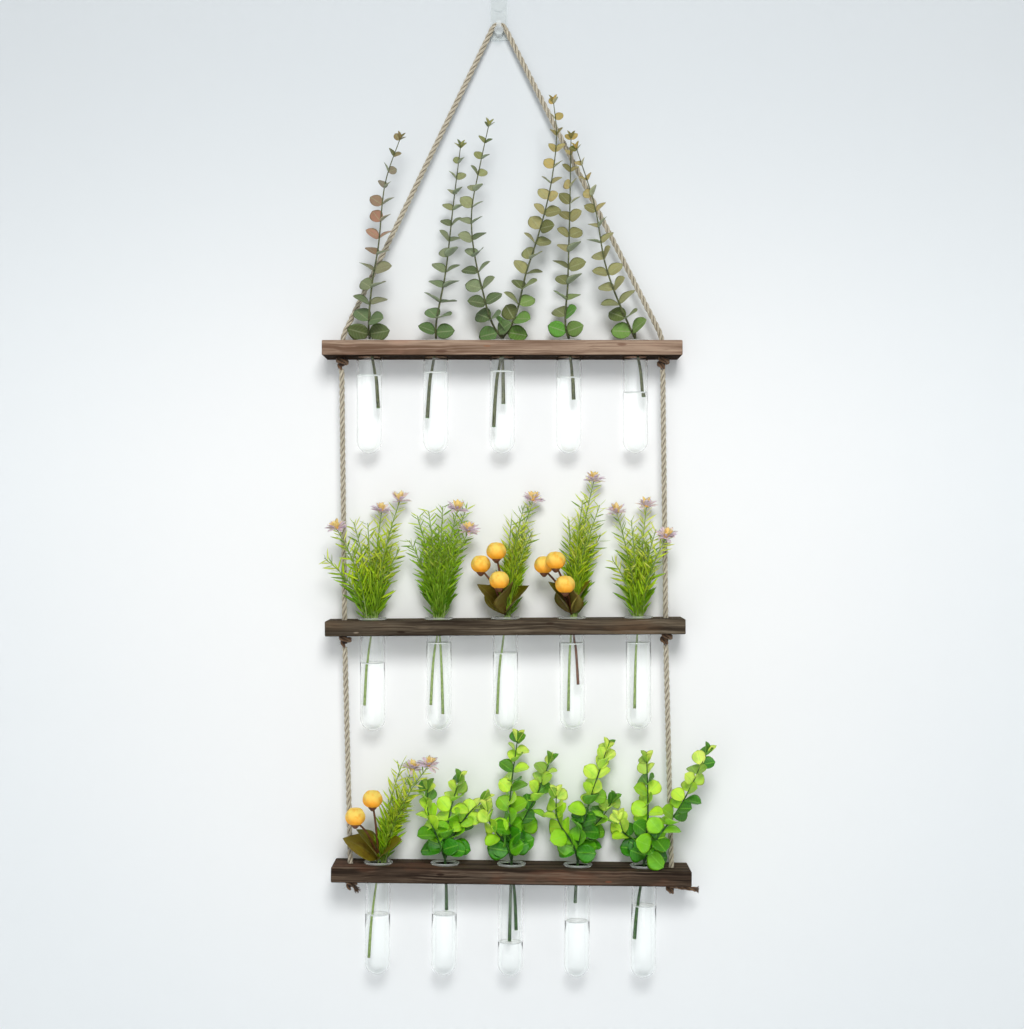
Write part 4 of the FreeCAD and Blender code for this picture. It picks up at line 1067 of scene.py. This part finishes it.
# a small flower: a ring of narrow petals that cup upwards round a heart of tiny domes
def addBloom(shape, place, way, rng):
    form = leafForm(petalOutline, around=6, along=5, cup=0.05, droop=0.12, thick=0.02)
    side = unit(np.cross(way, [0.1, 1.0, 0.2]))
    # spread petals, then shorter ones that stand up inside them
    for count, rises, share, slot in bloom["rings"]:
        turn = roundSteps(count) + rng.uniform(-0.2, 0.2, count)
        outward = outAt(turn[:, None], side, np.cross(way, side))
        rise = np.radians(rng.uniform(*rises, count))
        axes = leafAxes(np.broadcast_to(way, outward.shape), outward, rise, 0.0 * turn)
        long = bloom["petalLength"] * share * rng.uniform(0.8, 1.12, count)
        addCopies(shape, form, np.broadcast_to(place, outward.shape), axes,
                  np.stack([long * bloom["petalWidth"] / share, long, long], 1),
                  rng.uniform(0, 1, count), rng.uniform(0, 1, count), slot)
    hearts = bloom["hearts"]
    out = np.sqrt(rng.uniform(0, 1, hearts))[:, None] * bloom["heart"]
    turn = rng.uniform(0, 2 * np.pi, hearts)[:, None]
    spots = place + way * bloom["heartRise"] + out * outAt(turn, side, np.cross(way, side))
    ball = turned([[0, -1], [0.8, -0.6], [1, 0], [0.8, 0.6], [0, 1]], 7)
    addCopies(shape, (*ball, np.ones(len(ball[0]))), spots, np.broadcast_to(np.eye(3), (hearts, 3, 3)),
              np.full((hearts, 3), 0.95), rng.uniform(0, 1, hearts), rng.uniform(0, 1, hearts), 3)


# a closed yellow bud: a ball drawn in between its petals, each groove a cosine of the turn, on a
# brown cup and a bare stalk
def addBud(shape, place, foot, rng):
    tall, wide, around = bud["height"], bud["cup"], bud["around"]
    line = lineThrough([foot, foot * 0.45 + place * 0.55 + [0, 0, 4], place - [0, 0, tall * 0.5]], 16)
    shape.add(*sweep(line, np.linspace(*bud["stalk"], 16), 8), (0.1, 0.5, 0.5), 5)
    height = np.linspace(-1, 1, 15)[1:-1, None]
    turn = roundSteps(around)
    ball = np.sqrt(np.clip(1 - np.abs(height) ** 2.3, 0, 1))
    lobe = 1 + bud["groove"] * (np.abs(np.cos(bud["lobes"] / 2 * (turn[None] + 0.7 * height))) - 0.6)
    reach = bud["radius"] * ball * lobe * (1 - 0.06 * height)
    rings = np.stack([reach * np.cos(turn), reach * np.sin(turn), np.broadcast_to(tall * height, reach.shape)], -1)
    corners = np.concatenate([rings.reshape(-1, 3), [[0, 0, -tall], [0, 0, tall * 0.93]]]) + place
    tones = np.stack([np.append(np.repeat(height * 0.5 + 0.5, around), [0, 1]),
                      np.append(lobe.ravel() - 0.86, [0.1, 0.1]), np.full(len(corners), rng.uniform(0, 1))], 1)
    shape.add(corners, ringFaces(len(height), around), ringUv(around, height[:, 0], [[0, 0], [0, 1]]), tones, 4)
    corners, faces, uv = turned([[0, -tall * 1.35], [1.6, -tall * 1.3], [wide * 0.8, -tall * 1.05],
                                 [wide * 1.15, -tall * 0.78], [wide, -tall * 0.7], [0, -tall * 0.75]], 14)
    shape.add(corners + place, faces, uv, (0.1, 0.5, 0.5), 5)


def budMaterial():
    material, wires = newMaterial("yellowBud")
    share, lobe, _ = wires.tones()
    grain = wires.noise(wires.place(), 210, 3)
    # darker orange towards the bottom: painted shade
    colour = wires.mix(share.between(0.1, 0.75), bud["deep"], bud["light"])
    colour = wires.mix(grain.between(0.46, 0.72) * 0.6, colour, bud["deep"])
    # darker orange in the grooves between the lobes: painted shade
    colour = wires.mix(lobe.between(0.09, 0.05) * 0.5, colour, bud["deep"])
    finishMaterial(wires, {
        "Base Color": colour, "Roughness": 0.7, "Normal": grain.bump(0.3, 0.0006), "Subsurface Weight": 0.15,
        "Subsurface Radius": (0.8, 0.4, 0.1), "Subsurface Scale": 0.003})
    return material


def makeBushes():
    materials = [
        leafMaterial("needleLeaf", bush["look"]),
        stemMaterial("greenStem", (112, 138, 62), (146, 170, 92), (170, 176, 120)),
        leafMaterial("lilacPetal", bush["petalLook"]),
        stemMaterial("flowerHeart", (226, 170, 60), (246, 204, 96), (236, 190, 70)),
        budMaterial(),
        stemMaterial("brownStalk", (84, 48, 26), (112, 68, 38), (92, 56, 30)),
        leafMaterial("broadLeaf", bush["broadLook"]),
        leafMaterial("yellowPetal", bush["petalLook"], bush["yellowLook"]),
    ]
    deep = leafMaterial("deepNeedleLeaf", bush["look"], bush["deepLook"])
    form = leafForm(needleOutline, around=4, along=5, cup=0.02, droop=-0.16, thick=0.016)
    broad = leafForm(broadOutline, around=10, along=10, cup=0.14, droop=0.16, thick=0.012)
    foot = np.array(bush["foot"])
    reach = np.array([bush["spread"], bush["spread"], bush["height"]])
    for (tier, column), tips in bush["tips"].items():
        rng = np.random.default_rng(90 + 7 * column + len(tier))
        shape = Shape()
        feet = bush["feet"][tier, column]
        addStems(shape, feet[:1], 1, bush["stemShare"])
        addStems(shape, feet[1:], 5 if column == 1 else 1, bush["stemShare"])
        places = np.array(tips) * reach
        for number, tip in enumerate(places):
            addSprig(shape, foot, tip, form, rng)
            if number in bush["blooms"][tier, column]:
                way = unit((tip - foot) * [0.5, 0.5, 1] + [0, -30, 0])
                addBloom(shape, tip, way, rng)
        # shorter sprigs fill the middle, each between two of the long ones
        for number in range(bush["inner"][tier, column]):
            first, second = rng.choice(len(places), 2, replace=False)
            mixed = rng.uniform(0.3, 0.7)
            tip = (places[first] * mixed + places[second] * (1 - mixed)) * rng.uniform(0.55, 0.85)
            addSprig(shape, foot, tip, form, rng)
        for place in bush["buds"].get((tier, column), []):
            addBud(shape, np.array(place) * reach, foot, rng)
        ways = unit(np.array(bush["broad"].get((tier, column), np.zeros((0, 3)))))
        if len(ways):
            outward = unit(ways - up * ways[:, 2:] + [0, 1e-4, 0])
            axes = leafAxes(np.broadcast_to(up, ways.shape), outward, np.arcsin(ways[:, 2]),
                            np.full(len(ways), 0.9))
            sizes = np.tile(bush["broadSize"], (len(ways), 1))
            addCopies(shape, broad, np.broadcast_to(foot, ways.shape), axes, sizes,
                      rng.uniform(0, 1, len(ways)), rng.uniform(0, 1, len(ways)), 6)
        darker = (tier, column) == bush["darker"]
        finishCutting(shape, tier, column, [deep, *materials[1:]] if darker else materials)
    print("needle-leaved bushes made")


# Round-leaved sprays of the bottom tier: each stem's places as shares of the spread, spread and height.
roundSpray = {
    "height": 128, "spread": 44, "twig": 0.9, "taper": (1.3, 0.6), "foot": (0, 1.8, 4.5),
    "leaf": {"size": 21.0, "width": 0.92, "gap": 9.6, "start": 13, "bareTip": 2.6, "tipShare": 0.64, "shrink": 1.3,
             "rise": 18, "tipRise": 24, "roll": 86, "rollPower": 0.6, "wild": 24, "sway": 14,
             "turns": (10, 70, -25, 55)},
    "stems": {
        -1: [[(0.0, -0.05, 0.1), (0.1, -0.1, 0.4), (0.3, -0.1, 0.66)],
             [(-0.1, -0.2, 0.16), (-0.4, -0.3, 0.45), (-0.4, -0.3, 0.6)],
             [(0.15, 0.15, 0.18), (0.6, 0.1, 0.42), (0.86, 0.1, 0.5)]],
        0: [[(0.0, -0.05, 0.1), (-0.05, -0.1, 0.5), (0.1, -0.1, 0.98)],
            [(0.1, 0.1, 0.2), (0.6, 0.1, 0.58), (0.84, 0.1, 0.8)],
            [(-0.1, -0.2, 0.16), (-0.5, -0.2, 0.34), (-0.56, -0.2, 0.44)]],
        1: [[(0.0, -0.05, 0.1), (0.2, -0.1, 0.45), (0.62, -0.1, 0.92)],
            [(-0.1, -0.2, 0.16), (-0.5, -0.25, 0.4), (-0.52, -0.25, 0.56)],
            [(0.15, 0.15, 0.2), (0.6, 0.15, 0.4), (0.76, 0.1, 0.5)]],
        2: [[(0.0, -0.05, 0.1), (0.04, -0.3, 0.4), (0.0, -0.36, 0.84)],
            [(0.1, -0.5, 0.18), (0.7, -0.78, 0.5), (1.3, -0.78, 0.92)],
            [(-0.1, 0.1, 0.14), (-0.5, 0.1, 0.28), (-0.56, 0.1, 0.36)]],
    },
    "feet": {-1: [(0.2, 0.97, 0.43)], 0: [(-0.1, 0.98, 0.72), (0.6, 0.78, 0.6)], 1: [(-0.2, 0.97, 0.35)],
             2: [(-0.85, 0.5, 0.66)]},
    "look": {
        "ramp": [(0.0, (60, 140, 12)), (0.2, (132, 206, 20)), (0.55, (196, 240, 56)),
                 (1.0, (226, 246, 112))],
        "variety": 0.95, "odd": (34, 110, 22), "rib": 0.45, "ribTone": (160, 226, 80), "veins": 6,
        "veinShare": 0.12, "under": (150, 214, 84), "underShare": 0.35, "patchScale": 90, "patch": 0.35,
        "patchTone": (60, 150, 26), "roughness": 0.36, "shine": 0.5, "glow": 0.25,
    },
}


def roundOutline(v):
    return 0.5 * np.sin(np.pi * v**1.15) ** 0.55


def makeRoundSprays():
    leaf = leafMaterial("roundLeaf", roundSpray["look"])
    bark = stemMaterial("darkStem", (30, 62, 22), (58, 98, 34), (120, 150, 80))
    form = leafForm(roundOutline, around=8, along=7, cup=0.2, droop=0.05, thick=0.02)
    foot = np.array(roundSpray["foot"])
    reach = np.array([roundSpray["spread"], roundSpray["spread"], roundSpray["height"]])
    for column, lines in roundSpray["stems"].items():
        rng = np.random.default_rng(60 + column)
        shape = Shape()
        addStems(shape, roundSpray["feet"][column], 1)
        for shares in lines:
            line = lineThrough([foot, *(np.array(shares) * reach)], 50)
            addTwig(shape, line, roundSpray["twig"], roundSpray["taper"], 7)
            addPairs(shape, line, roundSpray["leaf"], form, rng)
        finishCutting(shape, "bottom", column, [leaf, bark])
    print("round-leaved sprays made")


# The wall that it hangs on, a pale floor far below the view, and soft light from high in front. These tones
# are linear.
stage = {
    # the wall's middle, edge and high tones, with their place and reach, paint a pool of light on it
    "wall": {"half": 3000, "set": 0.3, "middle": [0.92, 0.925, 0.918, 1], "edge": [0.85, 0.885, 0.9, 1],
             "high": [0.655, 0.69, 0.71, 1], "rise": (-0.5, 0.06), "place": (0.0, -0.56), "reach": (0.62, 0.66)},
    "floor": {"tone": (0.8, 0.82, 0.83), "height": -1400, "front": -2300},
    "aim": (0, 0, -520),
    "key": {"place": (120, -2100, 480), "size": 760, "power": 31.0, "glossy": False, "aim": (10, 0, -520)},
    "fill": {"place": (-300, -2700, -560), "size": 2200, "power": 20.0, "glossy": True},
    "back": {"place": (200, 2500, 200), "size": 1600, "power": 15.0, "glossy": False},
    "world": {"tone": (0.93, 0.965, 1.0), "light": 0.2, "seen": 0.84},
}


# the wall's tone is a painted pool of light, lightest about its middle and darker to its edges and its top; it is
# clear from behind and to shadow rays, so that the lamp behind it reaches the hanger's back
def wallMaterial():
    wall = stage["wall"]
    material, wires = newMaterial("wall")
    x, _, z = wires.place().parts()
    acrossShare = (x - wall["place"][0]) / wall["reach"][0]
    upShare = (z - wall["place"][1]) / wall["reach"][1]
    fromLightPool = (acrossShare * acrossShare + upShare * upShare) ** 0.5
    colour = wires.mix(fromLightPool.between(0.3, 1.0), wall["middle"], wall["edge"])
    # darker towards the top: painted falloff of the light
    colour = wires.mix(z.between(*wall["rise"]), colour, wall["high"])
    front = wires.add("BsdfPrincipled", None, {"Base Color": colour, "Roughness": 0.95, "Specular IOR Level": 0.0})
    seenThrough = wires.maths("MAXIMUM", wires.add("NewGeometry").other("Backfacing"),
                              wires.add("LightPath").other("Is Shadow Ray"))
    mixed = wires.add("MixShader", None, {0: seenThrough, 1: front, 2: wires.add("BsdfTransparent")})
    wires.add("OutputMaterial", None, {0: mixed})
    return material


# a stage sheet of four corners, which isn't part of the object
def flatSheet(name, corners, material):
    shape = Shape()
    shape.add(corners, [np.array([[0, 1, 2, 3]])], (0, 0), (0, 0, 0))
    shape.make(name, [material])


# a round soft lamp that looks at its aim; glass and water don't show it
def areaLamp(name, lamp, aim):
    data = bpy.data.lights.new(name, "AREA")
    data.shape, data.size = "DISK", lamp["size"] * mm
    data.energy = lamp["power"]
    made = bpy.data.objects.new(name, data)
    place = np.array(lamp["place"]) * mm
    made.location = place
    made.visible_transmission = False
    made.visible_glossy = lamp["glossy"]
    made.rotation_euler = (Vector(np.array(aim) * mm) - Vector(place)).to_track_quat("-Z", "Y").to_euler()
    scene.collection.objects.link(made)


def makeStage():
    half, back = stage["wall"]["half"], stage["wall"]["set"]
    floor, front = stage["floor"]["height"], stage["floor"]["front"]
    flatSheet("wall", [[-half, back, floor], [half, back, floor], [half, back, half], [-half, back, half]],
              wallMaterial())
    pale, wires = newMaterial("floor")
    finishMaterial(wires, {"Base Color": (*stage["floor"]["tone"], 1), "Roughness": 0.95})
    flatSheet("floor", [[-half, front, floor], [half, front, floor], [half, back, floor],
                        [-half, back, floor]], pale)
    for name in ("key", "fill", "back"):
        areaLamp(f"{name}Lamp", stage[name], stage[name].get("aim", stage["aim"]))
    # the world gives little light but is seen pale behind the object, in its glass and through it
    scene.world = bpy.data.worlds.new("softRoom")
    scene.world.use_nodes = True
    sky, wires = stage["world"], Wire(scene.world.node_tree)
    rays = wires.add("LightPath")
    seen = rays.maths("MAXIMUM", rays.other("Is Camera Ray"), rays.other("Is Glossy Ray"))
    seen = seen.maths("MAXIMUM", seen, rays.other("Is Transmission Ray"))
    background = scene.world.node_tree.nodes["Background"]
    background.inputs["Color"].default_value = (*sky["tone"], 1)
    strength = seen * (sky["seen"] - sky["light"]) + sky["light"]
    wires.tree.links.new(strength.socket, background.inputs["Strength"])
    print("wall, floor and lamps made")


makeCamera()
makeRopes()
dressPlanks()
makeTubes()
dressHook()
makeSprays()
makeBushes()
makeRoundSprays()
makeStage()
